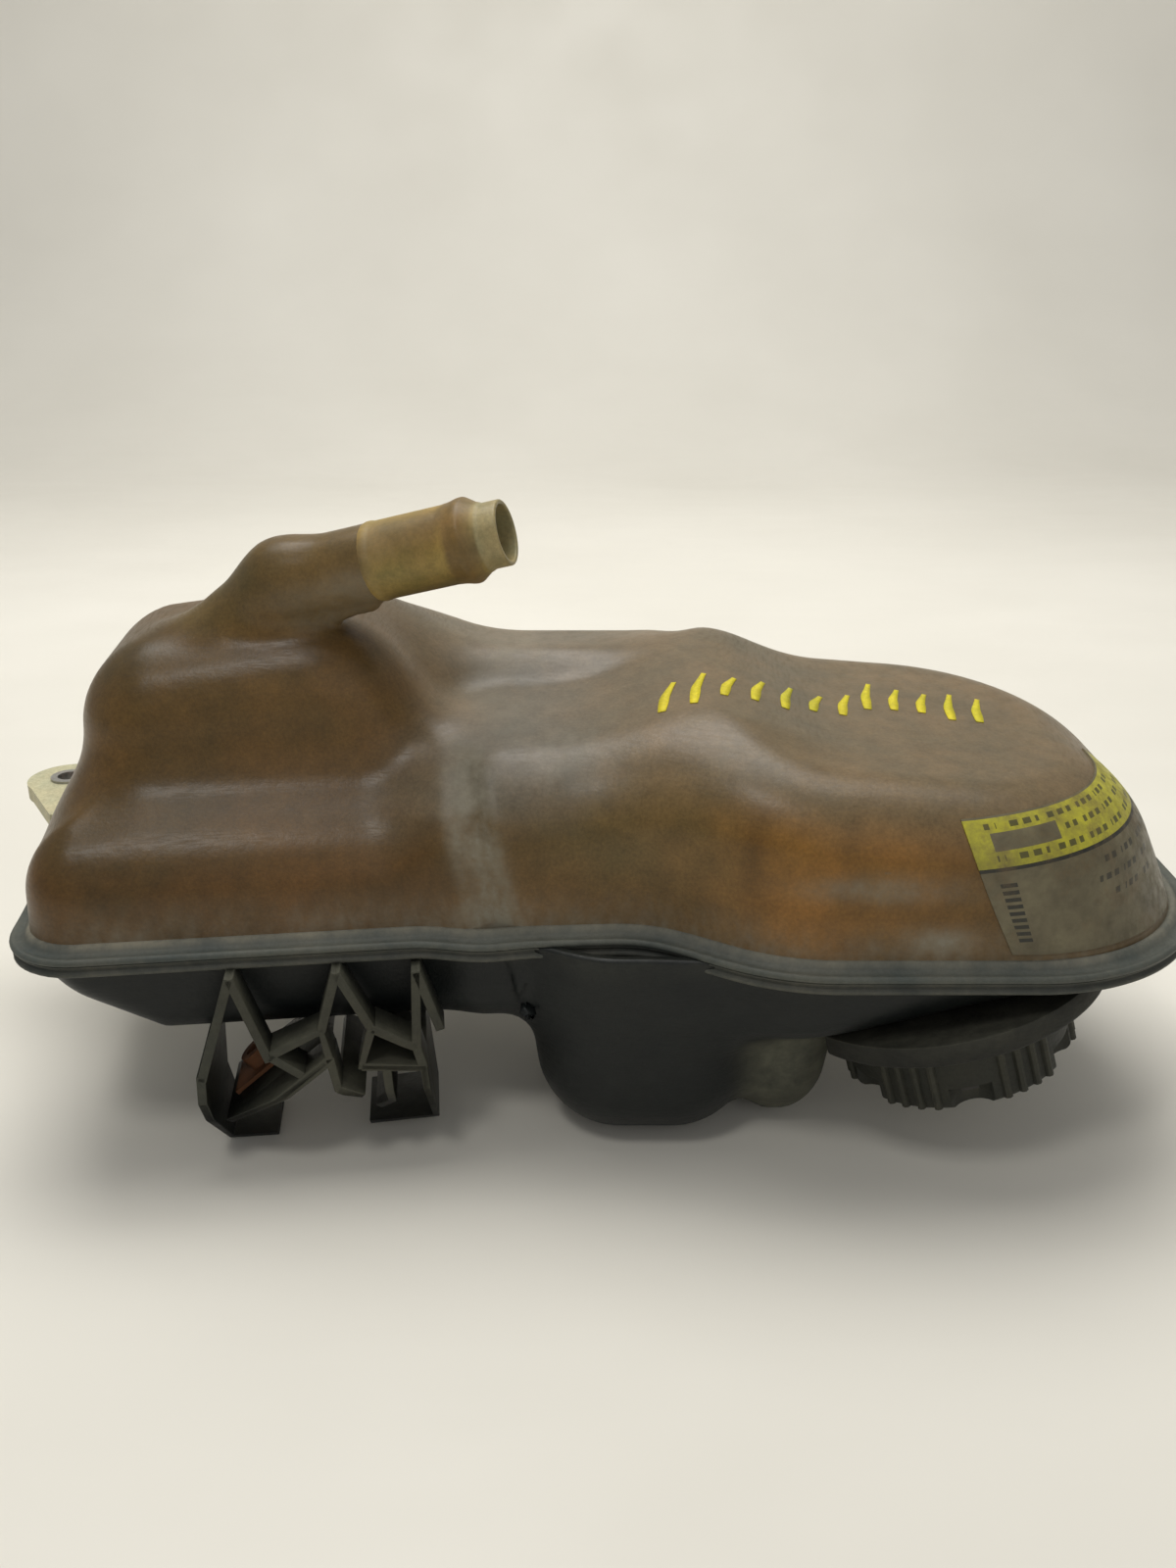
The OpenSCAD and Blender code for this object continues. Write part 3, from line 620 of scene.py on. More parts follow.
class Tree:
    """A Geometry Nodes tree with named inputs that ends in Realize Instances and Set Material."""

    def __init__(self, name, inputs):
        self.tree = bpy.data.node_groups.new(name, "GeometryNodeTree")
        self.tree.is_modifier = True
        face = self.tree.interface
        face.new_socket("Geometry", in_out="INPUT", socket_type="NodeSocketGeometry")
        self.ids = {}
        for label, kind, value in inputs:
            socket = face.new_socket(label, in_out="INPUT", socket_type="NodeSocket" + kind)
            socket.default_value = value
            self.ids[label] = socket.identifier
        self.ids["Material"] = face.new_socket(
            "Material", in_out="INPUT", socket_type="NodeSocketMaterial").identifier
        face.new_socket("Geometry", in_out="OUTPUT", socket_type="NodeSocketGeometry")
        self.start = self.tree.nodes.new("NodeGroupInput").outputs
        self.end = self.tree.nodes.new("NodeGroupOutput")

    def node(self, kind, settings=None, inputs=None):
        node = self.tree.nodes.new(kind)
        for key, value in (settings or {}).items():
            setattr(node, key, value)
        for key, value in (inputs or {}).items():
            if isinstance(value, bpy.types.NodeSocket):
                self.tree.links.new(value, node.inputs[key])
            else:
                node.inputs[key].default_value = value
        return node

    def math(self, operation, a, b=0.0):
        return self.node("ShaderNodeMath", {"operation": operation}, {0: a, 1: b}).outputs[0]

    def close(self, geometry):
        real = self.node("GeometryNodeRealizeInstances", inputs={0: geometry})
        coat = self.node("GeometryNodeSetMaterial", inputs={0: real.outputs[0], 2: self.start["Material"]})
        self.tree.links.new(coat.outputs[0], self.end.inputs[0])
        return self

    def run(self, piece, material, **values):
        """Puts the tree on a piece with these inputs and bakes the result to a plain mesh."""
        modifier = piece.modifiers.new(self.tree.name, "NODES")
        modifier.node_group = self.tree
        for label, value in values.items():
            modifier[self.ids[label.replace("_", " ")]] = value
        modifier[self.ids["Material"]] = material
        return apply_modifiers(piece)


def rib_path_tree():
    """Sweeps a flat bar along each path: thickness in the path's plane, depth across it."""
    t = Tree("Rib_Along_Path", [("Thickness", "Float", 0.003), ("Depth", "Float", 0.01)])
    curve = t.node("GeometryNodeMeshToCurve", inputs={0: t.start["Geometry"]})
    flat = t.node("GeometryNodeSetCurveNormal", inputs={0: curve.outputs[0]})
    if "Mode" in flat.inputs:
        flat.inputs["Mode"].default_value = "Z Up"
    else:
        flat.mode = "Z_UP"
    bar = t.node("GeometryNodeCurvePrimitiveQuadrilateral", inputs={
        "Width": t.start["Thickness"], "Height": t.start["Depth"]})
    sweep = t.node("GeometryNodeCurveToMesh", inputs={
        "Curve": flat.outputs[0], "Profile Curve": bar.outputs[0], "Fill Caps": True})
    return t.close(sweep.outputs[0])


def rib_ring_tree():
    """Sets bars round a ring, in groups that share one pitch, and joins them to the body."""
    t = Tree("Ribs_Round_Ring", [
        ("Count", "Int", 24), ("Per Group", "Int", 4), ("Group Step", "Float", 1.0472),
        ("Rib Step", "Float", 0.148), ("Start", "Float", 0.0), ("Radius", "Float", 0.038),
        ("Height", "Float", 0.0), ("Bar Size", "Vector", (0.002, 0.002, 0.02))])
    index = t.node("GeometryNodeInputIndex").outputs[0]
    group = t.math("FLOOR", t.math("DIVIDE", index, t.start["Per Group"]))
    place_in = t.math("SUBTRACT", index, t.math("MULTIPLY", group, t.start["Per Group"]))
    half_group = t.math("MULTIPLY", t.math("SUBTRACT", t.start["Per Group"], 1.0), 0.5)
    centred = t.math("SUBTRACT", place_in, half_group)
    group_turn = t.math("MULTIPLY", group, t.start["Group Step"])
    angle = t.math("ADD", group_turn, t.math("MULTIPLY", centred, t.start["Rib Step"]))
    angle = t.math("ADD", angle, t.start["Start"])
    spot = t.node("ShaderNodeCombineXYZ", inputs={
        0: t.math("MULTIPLY", t.math("COSINE", angle), t.start["Radius"]),
        1: t.math("MULTIPLY", t.math("SINE", angle), t.start["Radius"]),
        2: t.start["Height"]})
    points = t.node("GeometryNodePoints", inputs={"Count": t.start["Count"], "Position": spot.outputs[0]})
    bar = t.node("GeometryNodeMeshCylinder", {"fill_type": "NGON"}, {
        "Vertices": 8, "Radius": 0.5, "Depth": 1.0})
    turn = t.node("ShaderNodeCombineXYZ", inputs={2: angle})
    ribs = t.node("GeometryNodeInstanceOnPoints", inputs={
        "Points": points.outputs[0], "Instance": bar.outputs[0], "Rotation": turn.outputs[0],
        "Scale": t.start["Bar Size"]})
    both = t.node("GeometryNodeJoinGeometry", inputs={0: ribs.outputs[0]})
    t.tree.links.new(t.start["Geometry"], both.inputs[0])
    return t.close(both.outputs[0])


# ---- Pieces ----------------------------------------------------------------------------------

def weld_loop(count=480):
    """Points along the weld's outline, with the direction that points away from the tank."""
    left, right, reach = np.array([-115.0, 20.0]), np.array([130.0, 18.0]), 150.0
    span = np.linalg.norm(right - left)
    total = 2 * span + 2 * math.pi * 80
    along = np.linspace(0, total, count, endpoint=False)
    base, ray = [], []
    lean = math.atan2(*(right - left)[::-1])
    for s in along:
        if s < span:
            base.append(left + (right - left) * s / span)
            a = lean - math.pi / 2
        elif s < span + math.pi * 80:
            base.append(right)
            a = lean - math.pi / 2 + (s - span) / 80
        elif s < 2 * span + math.pi * 80:
            base.append(right + (left - right) * (s - span - math.pi * 80) / span)
            a = lean + math.pi / 2
        else:
            base.append(left)
            a = lean + math.pi / 2 + (s - 2 * span - math.pi * 80) / 80
        ray.append((math.cos(a), math.sin(a)))
    base, ray = np.array(base), np.array(ray)
    near, far = np.zeros(count), np.full(count, reach)
    for _ in range(40):
        half = (near + far) / 2
        p = base + ray * half[:, None]
        inside = outline(p[:, 0], p[:, 1]) < 0
        near, far = np.where(inside, half, near), np.where(inside, far, half)
    loop = base + ray * near[:, None]
    ahead, behind = np.roll(loop, -1, 0), np.roll(loop, 1, 0)
    way = ahead - behind
    way /= np.linalg.norm(way, axis=1, keepdims=True)
    away = np.stack([way[:, 1], -way[:, 0]], -1)
    return loop, away


def lip_ring(name, profile):
    loop, away = weld_loop()
    rows = []
    for out, up in profile:
        flat = loop + away * out
        rows.append(np.column_stack([flat, np.full(len(flat), WELD + up)]))
    points, faces = ring_strip(rows)
    return outward(new_piece(name, points, faces))


def local_mesh(name, points, faces, axes, at, smooth=True):
    """Mesh given in a piece's own axes, in millimetres from a point."""
    return new_piece(name, np.asarray(points) @ axes.T + at, faces, smooth)


def sharpen(piece, degrees=35):
    piece.data.set_sharp_from_angle(angle=math.radians(degrees))
    return piece


def cut_with(piece, cutters):
    for cutter in cutters:
        modifier = piece.modifiers.new("Cut", "BOOLEAN")
        modifier.operation = "DIFFERENCE"
        modifier.solver = "EXACT"
        modifier.object = cutter
    apply_modifiers(piece)
    for cutter in cutters:
        bpy.data.objects.remove(cutter)
    return piece


class TankSizes(bpy.types.PropertyGroup):
    """Sizes and colours of the moulded halves."""
    cell: FloatProperty(
        name="Cell", description="Mesh size on the moulded skins, in millimetres",
        default=2.3, min=1.5, max=5)
    wall: FloatProperty(
        name="Wall", description="Wall thickness of both halves", default=0.003, unit="LENGTH")
    lip: FloatProperty(
        name="Lip", description="How far the weld lip stands out, in millimetres", default=6.5, min=4, max=8)
    amber: FloatVectorProperty(
        name="Amber", description="Plastic of the front", default=(0.108, 0.064, 0.019), subtype="COLOR")
    sunned: FloatVectorProperty(
        name="Sunned", description="Dulled plastic of the tops",
        default=(0.130, 0.095, 0.050), subtype="COLOR")
    black: FloatVectorProperty(
        name="Black", description="Plastic of the lower half",
        default=(0.0042, 0.0064, 0.0070), subtype="COLOR")
    lip_tint: FloatVectorProperty(
        name="Lip tint", description="Rubbed plastic of the lips",
        default=(0.052, 0.064, 0.060), subtype="COLOR")
    dust: FloatVectorProperty(
        name="Dust", description="Dry dust", default=(0.24, 0.22, 0.165), subtype="COLOR")


class CapSizes(bpy.types.PropertyGroup):
    """Sizes of the cap's grip and the collar behind it."""
    groups: IntProperty(
        name="Rib groups", description="Groups of ribs round the grip", default=6, min=3, max=12)
    per_group: IntProperty(name="Ribs in a group", description="Ribs side by side", default=4, min=1, max=8)
    collar_ribs: IntProperty(
        name="Collar ribs", description="Ribs under the collar", default=18, min=6, max=36)


def amber_tint(p, n, sizes):
    """Colour of the natural half at points p with normals n, with a painted glow of light on the right body's
    front.
    """
    x, y, z = p.T
    up = step(n[:, 2], 0.25, 0.85)
    amber, sunned = np.array(sizes.amber), np.array(sizes.sunned)
    front = mix(amber, amber * (0.95, 0.84, 0.80), step(z, 150, 95) * step(x, -20, -60))
    # Painted glow: a brighter golden pool of light painted on the right body's front, standing in for light
    # shining through the plastic.
    front = mix(front, amber * (2.2, 1.8, 1.15), bell(x, 70, 44) * bell(z, 122, 30) * step(y, 40, 0))
    front = mix(front, amber * (1.35, 1.5, 1.75), bell(x, 14, 34) * step(z, 90, 112))
    front = front * (1 - 0.32 * bell(x, 51, 4.5) * bell(z, 120, 26))[:, None]
    front = front * (1 - 0.26 * bell(x, 79, 5) * bell(z, 122, 24))[:, None]
    front = mix(front, sunned * 0.9, step(x, 165, 198))
    top = mix(sunned, sunned * (0.58, 0.46, 0.24), step(x, -45, -75))
    top = mix(top, np.array((0.125, 0.105, 0.075)), bell(x, -20, 34))
    ridge = step(16 - np.abs(capsule(p.T, TUBE_AT - 60 * TUBE_DIR, TUBE_AT, 6)), 0, 12)
    olive = amber * (1.25, 1.45, 1.7)
    return mix(mix(front, top, up), olive, ridge * 0.7)


def amber_dust(p, n):
    x, y, z = p.T
    up = step(n[:, 2], 0.2, 0.9)
    in_crease = bell(crease(p.T), 0, 4.5)
    streaks = 0.55 + 0.45 * np.sin(x * 1.9 + 2 * np.sin(z * 0.21))
    low = step(z, 102, 83) * (0.25 + 0.25 * streaks)
    scuff = bell(x, -12, 19) * bell(z, 143, 13) * step(y, 0, -25) * (0.6 + 0.4 * np.sin(x * 1.1 - z * 0.8))
    valley = bell(x, -30, 14) * bell(z, 155, 18) * step(y, -30, 10)
    smear = bell(x, 92, 24) * bell(z, 109, 4) * step(y, 0, -40)
    smear = np.maximum(smear, bell(x, 108, 9) * bell(z, 92, 4) * step(y, 0, -40))
    seat = capsule(p.T, TUBE_AT - 26 * TUBE_DIR, TUBE_AT - 2 * TUBE_DIR, 13)
    mask = 0.05 * up + 0.8 * in_crease * (0.6 + 0.4 * streaks) + low
    mask = mask + 0.45 * np.clip(scuff, 0, 1) + 0.35 * valley + 0.6 * np.clip(smear, 0, 1)
    mask += 0.35 * bell(seat, 0, 4) * step(-n[:, 2], -0.5, 0.4)
    return np.clip(mask, 0, 1)


class TANK_OT_natural_shell(bpy.types.Operator):
    """Natural half: one blown skin, thickened inwards, with its lip along the weld"""
    bl_idname = "tank.natural_shell"
    bl_label = "Natural half"

    def execute(self, context):
        sizes = context.scene.tank_sizes
        points, quads = skin(natural_half, (-234, -70, WELD - 8), (212, 118, 224), sizes.cell)
        shell = new_piece("natural_shell_body", points, quads)
        keep_side(shell, 1)
        inward = shell.modifiers.new("Wall", "SOLIDIFY")
        inward.thickness = sizes.wall
        inward.offset = -1
        apply_modifiers(shell)
        p, n = back(vertex_array(shell.data)), normal_array(shell.data)
        paint(shell, amber_tint(p, n, sizes), amber_dust(p, n))
        plastic = aged_plastic("Amber_Plastic", tuple(sizes.dust), rough=0.30, dusty_rough=0.72)
        shell.data.materials.append(plastic)
        shell.data.shade_smooth()
        out = sizes.lip
        lip = lip_ring("natural_lip", [
            (-2.2, 0.15), (out - 0.7, 0.15), (out - 0.1, 0.5), (out, 1.3), (out - 0.4, 2.3), (out - 1.3, 2.5),
            (out - 2.2, 2.0), (3.0, 2.0), (1.6, 2.8), (0.6, 4.4), (-0.5, 5.0), (-2.2, 4)])
        p = back(vertex_array(lip.data))
        paint(lip, np.array(sizes.lip_tint), lip_dust(p))
        lip.data.materials.append(aged_plastic("Lip_Plastic", tuple(sizes.dust), rough=0.5, contrast=0.4))
        whole = join("natural_shell_skin", [shell, lip])
        finish_piece(whole, None, "tank", ["natural_shell"])
        return {"FINISHED"}


def lip_dust(p):
    x, y, z = p.T
    top = step(z, WELD + 2, WELD + 5)
    left = step(x, -20, -120) * step(y, 30, -20)
    return np.clip(0.18 + 0.35 * top + 0.35 * left * top, 0, 1)


class TANK_OT_black_shell(bpy.types.Operator):
    """Black half: pan with the front and second dome, and its lip along the weld"""
    bl_idname = "tank.black_shell"
    bl_label = "Black half"

    def execute(self, context):
        sizes = context.scene.tank_sizes
        points, quads = skin(black_half, (-234, -74, -4), (212, 118, WELD + 8), sizes.cell)
        shell = new_piece("black_shell_body", points, quads)
        keep_side(shell, -1)
        inward = shell.modifiers.new("Wall", "SOLIDIFY")
        inward.thickness = sizes.wall
        inward.offset = -1
        apply_modifiers(shell)
        p, n = back(vertex_array(shell.data)), normal_array(shell.data)
        x, y, z = p.T
        second = step(x, 46, 62) * step(z, 48, 40) * step(x, 110, 96)
        right = step(x, 100, 150) * bell(z, 62, 12)
        dust = 0.02 + 0.5 * second + 0.10 * right + 0.06 * step(z, 70, 80) + 0.6 * bell(
            np.linalg.norm(p - (112, -50, 52.7), axis=1), 0, 4)
        tint = mix(np.array(sizes.black), np.array(linear(46, 47, 40)), second * 0.7)
        paint(shell, tint, np.clip(dust, 0, 1))
        shell.data.materials.append(
            aged_plastic("Black_Plastic", tuple(linear(108, 108, 92)), rough=0.42, contrast=0.35, bump=0.2))
        shell.data.shade_smooth()
        out = sizes.lip
        lip = lip_ring("black_lip", [
            (-2.2, -0.15), (-2.2, -6), (-0.6, -7.0), (0.8, -5.8),
            (2.0, -4.4), (out - 1.2, -4.0), (out - 0.6, -3.5),
            (out - 0.6, -2.5), (out - 1.9, -2.0), (out - 1.9, -1.1), (out - 0.9, -0.7), (out - 0.9, -0.15)])
        paint(lip, np.array(sizes.lip_tint) * 0.62, 0.22)
        lip.data.materials.append(
            aged_plastic("Lower_Lip_Plastic", tuple(sizes.dust), rough=0.5, contrast=0.4))
        whole = join("black_shell_skin", [shell, lip])
        finish_piece(whole, None, "tank", ["black_shell"])
        return {"FINISHED"}


class TANK_OT_hose_spigot(bpy.types.Operator):
    """Tube for the hose: golden barrel, cone barb and a pale step at the mouth"""
    bl_idname = "tank.hose_spigot"
    bl_label = "Hose spigot"

    def execute(self, context):
        profile = round_corners([
            (8.8, -20), (12.2, -20), (12.2, -3), (12.9, -1.5), (12.9, 0), (12.6, 1), (12.6, 24), (12.9, 27),
            (13.6, 30), (13.6, 31.5), (11.2, 35), (10.9, 36), (10.4, 37), (10.4, 43), (8.8, 43)], 0.8)
        points, faces = revolve(profile, 96)
        tube = outward(local_mesh("hose_spigot_tube", points, faces, tube_axes(), TUBE_AT))
        local = (back(vertex_array(tube.data)) - TUBE_AT) @ tube_axes()
        z = local[:, 2]
        a = np.arctan2(local[:, 1], local[:, 0])
        gold = np.array(linear(146, 124, 62))
        tint = mix(gold, np.array(linear(104, 82, 42)), 0.5 + 0.5 * np.sin(3 * a + 0.3 * z))
        tint = mix(tint, np.array(linear(112, 88, 46)), step(z, 25, 27) * step(z, 35.5, 34))
        tint = mix(tint, np.array(linear(156, 143, 102)), step(z, 35.5, 36.5))
        # Painted shade: the inner bore is painted darker the deeper it goes into the mouth.
        inside = step(9.4 - np.hypot(local[:, 0], local[:, 1]), 0, 0.4)
        tint = mix(tint, np.array(linear(74, 62, 40)), inside * step(z, 42.5, 38))
        paint(tube, tint, np.clip(0.15 + 0.25 * bell(z, 35.5, 1.5) + 0.2 * bell(z, 0, 3), 0, 1))
        plastic = aged_plastic(
            "Tube_Plastic", tuple(linear(150, 138, 100)), rough=0.32, blotch=60.0, contrast=0.35)
        finish_piece(tube, plastic, "tank", ["hose_spigot"])
        return {"FINISHED"}


def label_grid():
    """Points of the label's patch on the skin, as rows going up."""
    along, up = np.meshgrid(np.linspace(0, 1, 91), np.linspace(0, 1, 37))
    turn = np.radians(-90 + 56 * along - up * (14 - 31 * along))
    rise = np.radians(5 + up * (28 + 17 * along))
    ray = np.stack([np.cos(turn) * np.cos(rise), np.sin(turn) * np.cos(rise), np.sin(rise)])
    base = np.array([130.0, 18.0, WELD])[:, None, None]
    near, far = np.zeros(turn.shape), np.full(turn.shape, 150.0)
    for _ in range(36):
        half = (near + far) / 2
        inside = body_outline(base + ray * half) < 0
        near, far = np.where(inside, half, near), np.where(inside, far, half)
    return np.moveaxis(base + ray * near, 0, -1)


class TANK_OT_fill_label(bpy.types.Operator):
    """Film label wrapped round the right end, printed with generic bars"""
    bl_idname = "tank.fill_label"
    bl_label = "Fill label"

    def execute(self, context):
        grid = label_grid()
        rows, columns = grid.shape[:2]
        flat = grid.reshape(-1, 3)
        g = gradient(body_outline, flat.T)
        away = g / np.linalg.norm(g, axis=1, keepdims=True)
        count = len(flat)
        points = np.concatenate([flat + away * 0.5, flat - away * 0.3])
        faces = []
        for j in range(rows - 1):
            for i in range(columns - 1):
                a = j * columns + i
                quad = (a, a + 1, a + columns + 1, a + columns)
                faces.append(quad)
                faces.append(tuple(k + count for k in reversed(quad)))
        rim = [i for i in range(columns)] + [j * columns + columns - 1 for j in range(1, rows)]
        rim += [(rows - 1) * columns + i for i in range(columns - 2, -1, -1)]
        rim += [j * columns for j in range(rows - 2, 0, -1)]
        for a, b in zip(rim, rim[1:] + rim[:1]):
            faces.append((b, a, a + count, b + count))
        label = new_piece("fill_label_film", points, faces)
        layer = label.data.uv_layers.new(name="UVMap")
        for loop in label.data.loops:
            k = loop.vertex_index % count
            layer.data[loop.index].uv = ((k % columns) / (columns - 1), (k // columns) / (rows - 1))
        sharpen(label, 50)
        finish_piece(label, label_film("Label_Film"), "tank", ["fill_label"])
        return {"FINISHED"}


def pen_strokes():
    """Yellow pen marks on the right top: two rows of plain slanted dashes in tank millimetres."""
    strokes = []
    for i in range(7):
        x, y, tall = 24 + i * 10.5, i * 3.2, 10 + 2 * math.sin(i * 2.1)
        strokes.append([(x, y - tall), (x + 1.5, y), (x + 5, y + tall)])
    for i in range(5):
        x, y, tall = 97 + i * 9.5, 30 - i * 1.5, 11 + 2 * math.cos(i * 1.9)
        strokes.append([(x, y - tall), (x + 1.5, y), (x + 5, y + tall)])
    return strokes


class TANK_OT_pen_marks(bpy.types.Operator):
    """Hand-drawn yellow strokes on the top, laid on the skin"""
    bl_idname = "tank.pen_marks"
    bl_label = "Pen marks"

    def execute(self, context):
        points, faces = [], []
        for stroke in pen_strokes():
            path = np.array(stroke, float)
            steps = np.linspace(0, len(path) - 1, 26)
            curve = np.column_stack([np.interp(steps, range(len(path)), path[:, i]) for i in range(2)])
            curve[1:-1] = (curve[:-2] + 2 * curve[1:-1] + curve[2:]) / 4
            way = np.gradient(curve, axis=0)
            side = np.column_stack([-way[:, 1], way[:, 0]]) / np.linalg.norm(way, axis=1)[:, None]
            wide = 1.7 * (0.75 + 0.25 * np.sin(steps * 2.3))[:, None]
            for s, (a, b) in enumerate(zip(curve - side * wide, curve + side * wide)):
                points += [(a[0], a[1]), (b[0], b[1])]
                if s:
                    k = len(points)
                    faces.append((k - 4, k - 2, k - 1, k - 3))
        flat = np.array(points)
        high, low = np.full(len(flat), 200.0), np.full(len(flat), 100.0)
        for _ in range(36):
            half = (high + low) / 2
            inside = body_outline((flat[:, 0], flat[:, 1], half)) < 0
            low, high = np.where(inside, half, low), np.where(inside, high, half)
        marks = new_piece("pen_marks", np.column_stack([flat, low + 0.15]), faces)
        thick = marks.modifiers.new("Film", "SOLIDIFY")
        thick.thickness = 0.0002
        thick.offset = 0
        apply_modifiers(marks)
        ink = aged_plastic(
            "Pen_Yellow", tuple(linear(150, 132, 60)), rough=0.55, tint=linear(206, 196, 30), dust=0.25)
        finish_piece(marks, ink, "tank")
        return {"FINISHED"}


# Each rib path is (depth, points); points are (x, height) in the bracket's front plane
UPPER_RIBS = [
    [(-119, 77), (-131, 40)], [(-119, 77), (-109, 46)], [(-86, 77), (-92, 56)],
    [(-86, 77), (-76, 56)], [(-61, 76), (-54, 54)], [(-61, 76), (-62, 48)]]
LOWER_RIBS = [
    [(-131, 42), (-132, 18), (-128, 1.5), (-112, 1.5)], [(-109, 48), (-92, 56), (-90, 46), (-126, 16)],
    [(-109, 48), (-99, 40)], [(-90, 46), (-88, 34), (-80, 30)], [(-76, 56), (-66, 50), (-62, 48)],
    [(-76, 56), (-80, 42), (-60, 40), (-57, 8), (-80, 6)], [(-62, 48), (-60, 40)],
    [(-72, 40), (-71, 24), (-76, 20)]]
LOW_RIBS = [
    [(-131, 42), (-132, 18), (-128, 1.5), (-112, 1.5)], [(-91, 44), (-126, 16)],
    [(-88, 34), (-80, 30)], [(-80, 42), (-60, 40), (-57, 8), (-80, 6)], [(-72, 40), (-71, 24), (-76, 20)]]


class TANK_OT_front_bracket(bpy.types.Operator):
    """Bracket of thin ribs that stands off the front of the pan"""
    bl_idname = "tank.front_bracket"
    bl_label = "Front bracket"

    def execute(self, context):
        sweep = rib_path_tree()
        plastic = aged_plastic(
            "Bracket_Plastic", tuple(linear(96, 95, 80)), rough=0.5, dusty_rough=0.85, contrast=0.4, bump=0.3)
        parts = []
        for paths, depth in ((UPPER_RIBS, 10.5), (LOWER_RIBS, 12.5), (LOW_RIBS, 46.0)):
            for path in paths:
                line = bpy.data.meshes.new("path")
                local = [((x - BRACKET_PIVOT[0]) * MM, z * MM, 0) for x, z in path]
                line.from_pydata(local, [(i, i + 1) for i in range(len(local) - 1)], [])
                rib = bpy.data.objects.new("rib", line)
                context.scene.collection.objects.link(rib)
                sweep.run(rib, plastic, Thickness=RIB_T * MM, Depth=depth * MM)
                q = vertex_array(rib.data) / MM
                in_front = BRACKET_FRONT + depth / 2
                turned = np.column_stack([q[:, 0], in_front - q[:, 2], q[:, 1]]) @ bracket_axes().T
                rib.data.vertices.foreach_set("co", place(turned + BRACKET_PIVOT).ravel())
                rib.data.update()
                parts.append(rib)
        bracket = join("front_bracket_ribs", parts)
        slope_low = bracket_axes() @ (0, BRACKET_FRONT + 26, -1) + BRACKET_PIVOT
        cut_away(bracket, slope_low, bracket_axes() @ (0, -39, -31))
        bevel = bracket.modifiers.new("Edge", "BEVEL")
        bevel.width = 0.0005
        bevel.segments = 2
        bevel.limit_method = "ANGLE"
        apply_modifiers(bracket)
        outward(bracket)
        p = back(vertex_array(bracket.data)) - BRACKET_PIVOT
        p = p @ bracket_axes()
        front = step(p[:, 1], BRACKET_FRONT + 2.0, BRACKET_FRONT + 0.3)
        n = normal_array(bracket.data)
        dust = 0.06 + 0.40 * front + 0.30 * step(n[:, 2], 0.4, 0.9)
        tint = mix(np.array(linear(15, 18, 17)), np.array(linear(42, 44, 38)), front)
        paint(bracket, tint, np.clip(dust * 0.6, 0, 1))
        sharpen(bracket, 40)
        finish_piece(bracket, plastic, "tank", ["front_bracket"])
        return {"FINISHED"}


def block(low, high):
    """Closed box between two corners, as a cutter."""
    x, y, z = zip(low, high)
    points = [(x[i], y[j], z[k]) for i in (0, 1) for j in (0, 1) for k in (0, 1)]
    faces = [(0, 1, 3, 2), (4, 6, 7, 5), (0, 4, 5, 1), (2, 3, 7, 6), (0, 2, 6, 4), (1, 5, 7, 3)]
    return np.array(points, float), faces


def round_bar(r, low, high, at, steps=40):
    a = np.linspace(0, 2 * np.pi, steps, endpoint=False)
    ring = np.stack([at[0] + r * np.cos(a), at[1] + r * np.sin(a)], -1)
    points = np.concatenate([np.column_stack([ring, np.full(steps, z)]) for z in (low, high)])
    faces = [(i, (i + 1) % steps, steps + (i + 1) % steps, steps + i) for i in range(steps)]
    return points, faces + [tuple(range(steps))[::-1], tuple(range(steps, 2 * steps))]


class TANK_OT_neck_collar(bpy.types.Operator):
    """Dished ring round the neck, with ribs under it and a bite where the second dome passes"""
    bl_idname = "tank.neck_collar"
    bl_label = "Neck collar"

    def execute(self, context):
        sizes = context.scene.cap_sizes
        top = SEAT_GAP - 0.6
        profile = round_corners([
            (29.5, 2), (32.1, 2), (32.1, 5.2), (COLLAR_R - 2.6, 5.2),
            (COLLAR_R - 2.6, 0), (COLLAR_R - 0.9, 0),
            (COLLAR_R, 1.2), (COLLAR_R, top), (29.5, top)], 0.7, 2)
        points, faces = revolve(profile, 144)
        collar = outward(new_piece("neck_collar_ring", points + MIDDLE, faces))
        collar.data.transform(cap_matrix())
        points, faces = block((20, -47, -20), (94, 73, WELD - 0.5))
        cut_with(collar, [new_piece("bite", points, faces, False)])
        collar.data.transform(cap_matrix().inverted())
        plastic = aged_plastic(
            "Dusty_Plastic", tuple(linear(112, 110, 94)), rough=0.6, dusty_rough=0.9, contrast=0.45, bump=0.3)
        rib_ring_tree().run(
            collar, plastic, Count=sizes.collar_ribs, Per_Group=1, Group_Step=2 * math.pi / sizes.collar_ribs,
            Rib_Step=0.0, Start=0.0, Radius=0.0418, Height=0.0045, Bar_Size=(0.0205, 0.002, 0.004))
        collar.data.transform(cap_matrix())
        p = back(vertex_array(collar.data))
        n = normal_array(collar.data)
        paint(collar, np.array(linear(19, 21, 19)), np.clip(0.06 + 0.16 * step(n[:, 2], -0.2, 0.6), 0, 1))
        sharpen(collar, 40)
        finish_piece(collar, plastic, "tank", ["neck_collar"])
        return {"FINISHED"}


def cap_matrix():
    """From the cap's own axes, in metres, to the frame."""
    matrix = Matrix(cap_axes().tolist()).to_4x4()
    matrix.translation = place(CAP_AT)
    return matrix


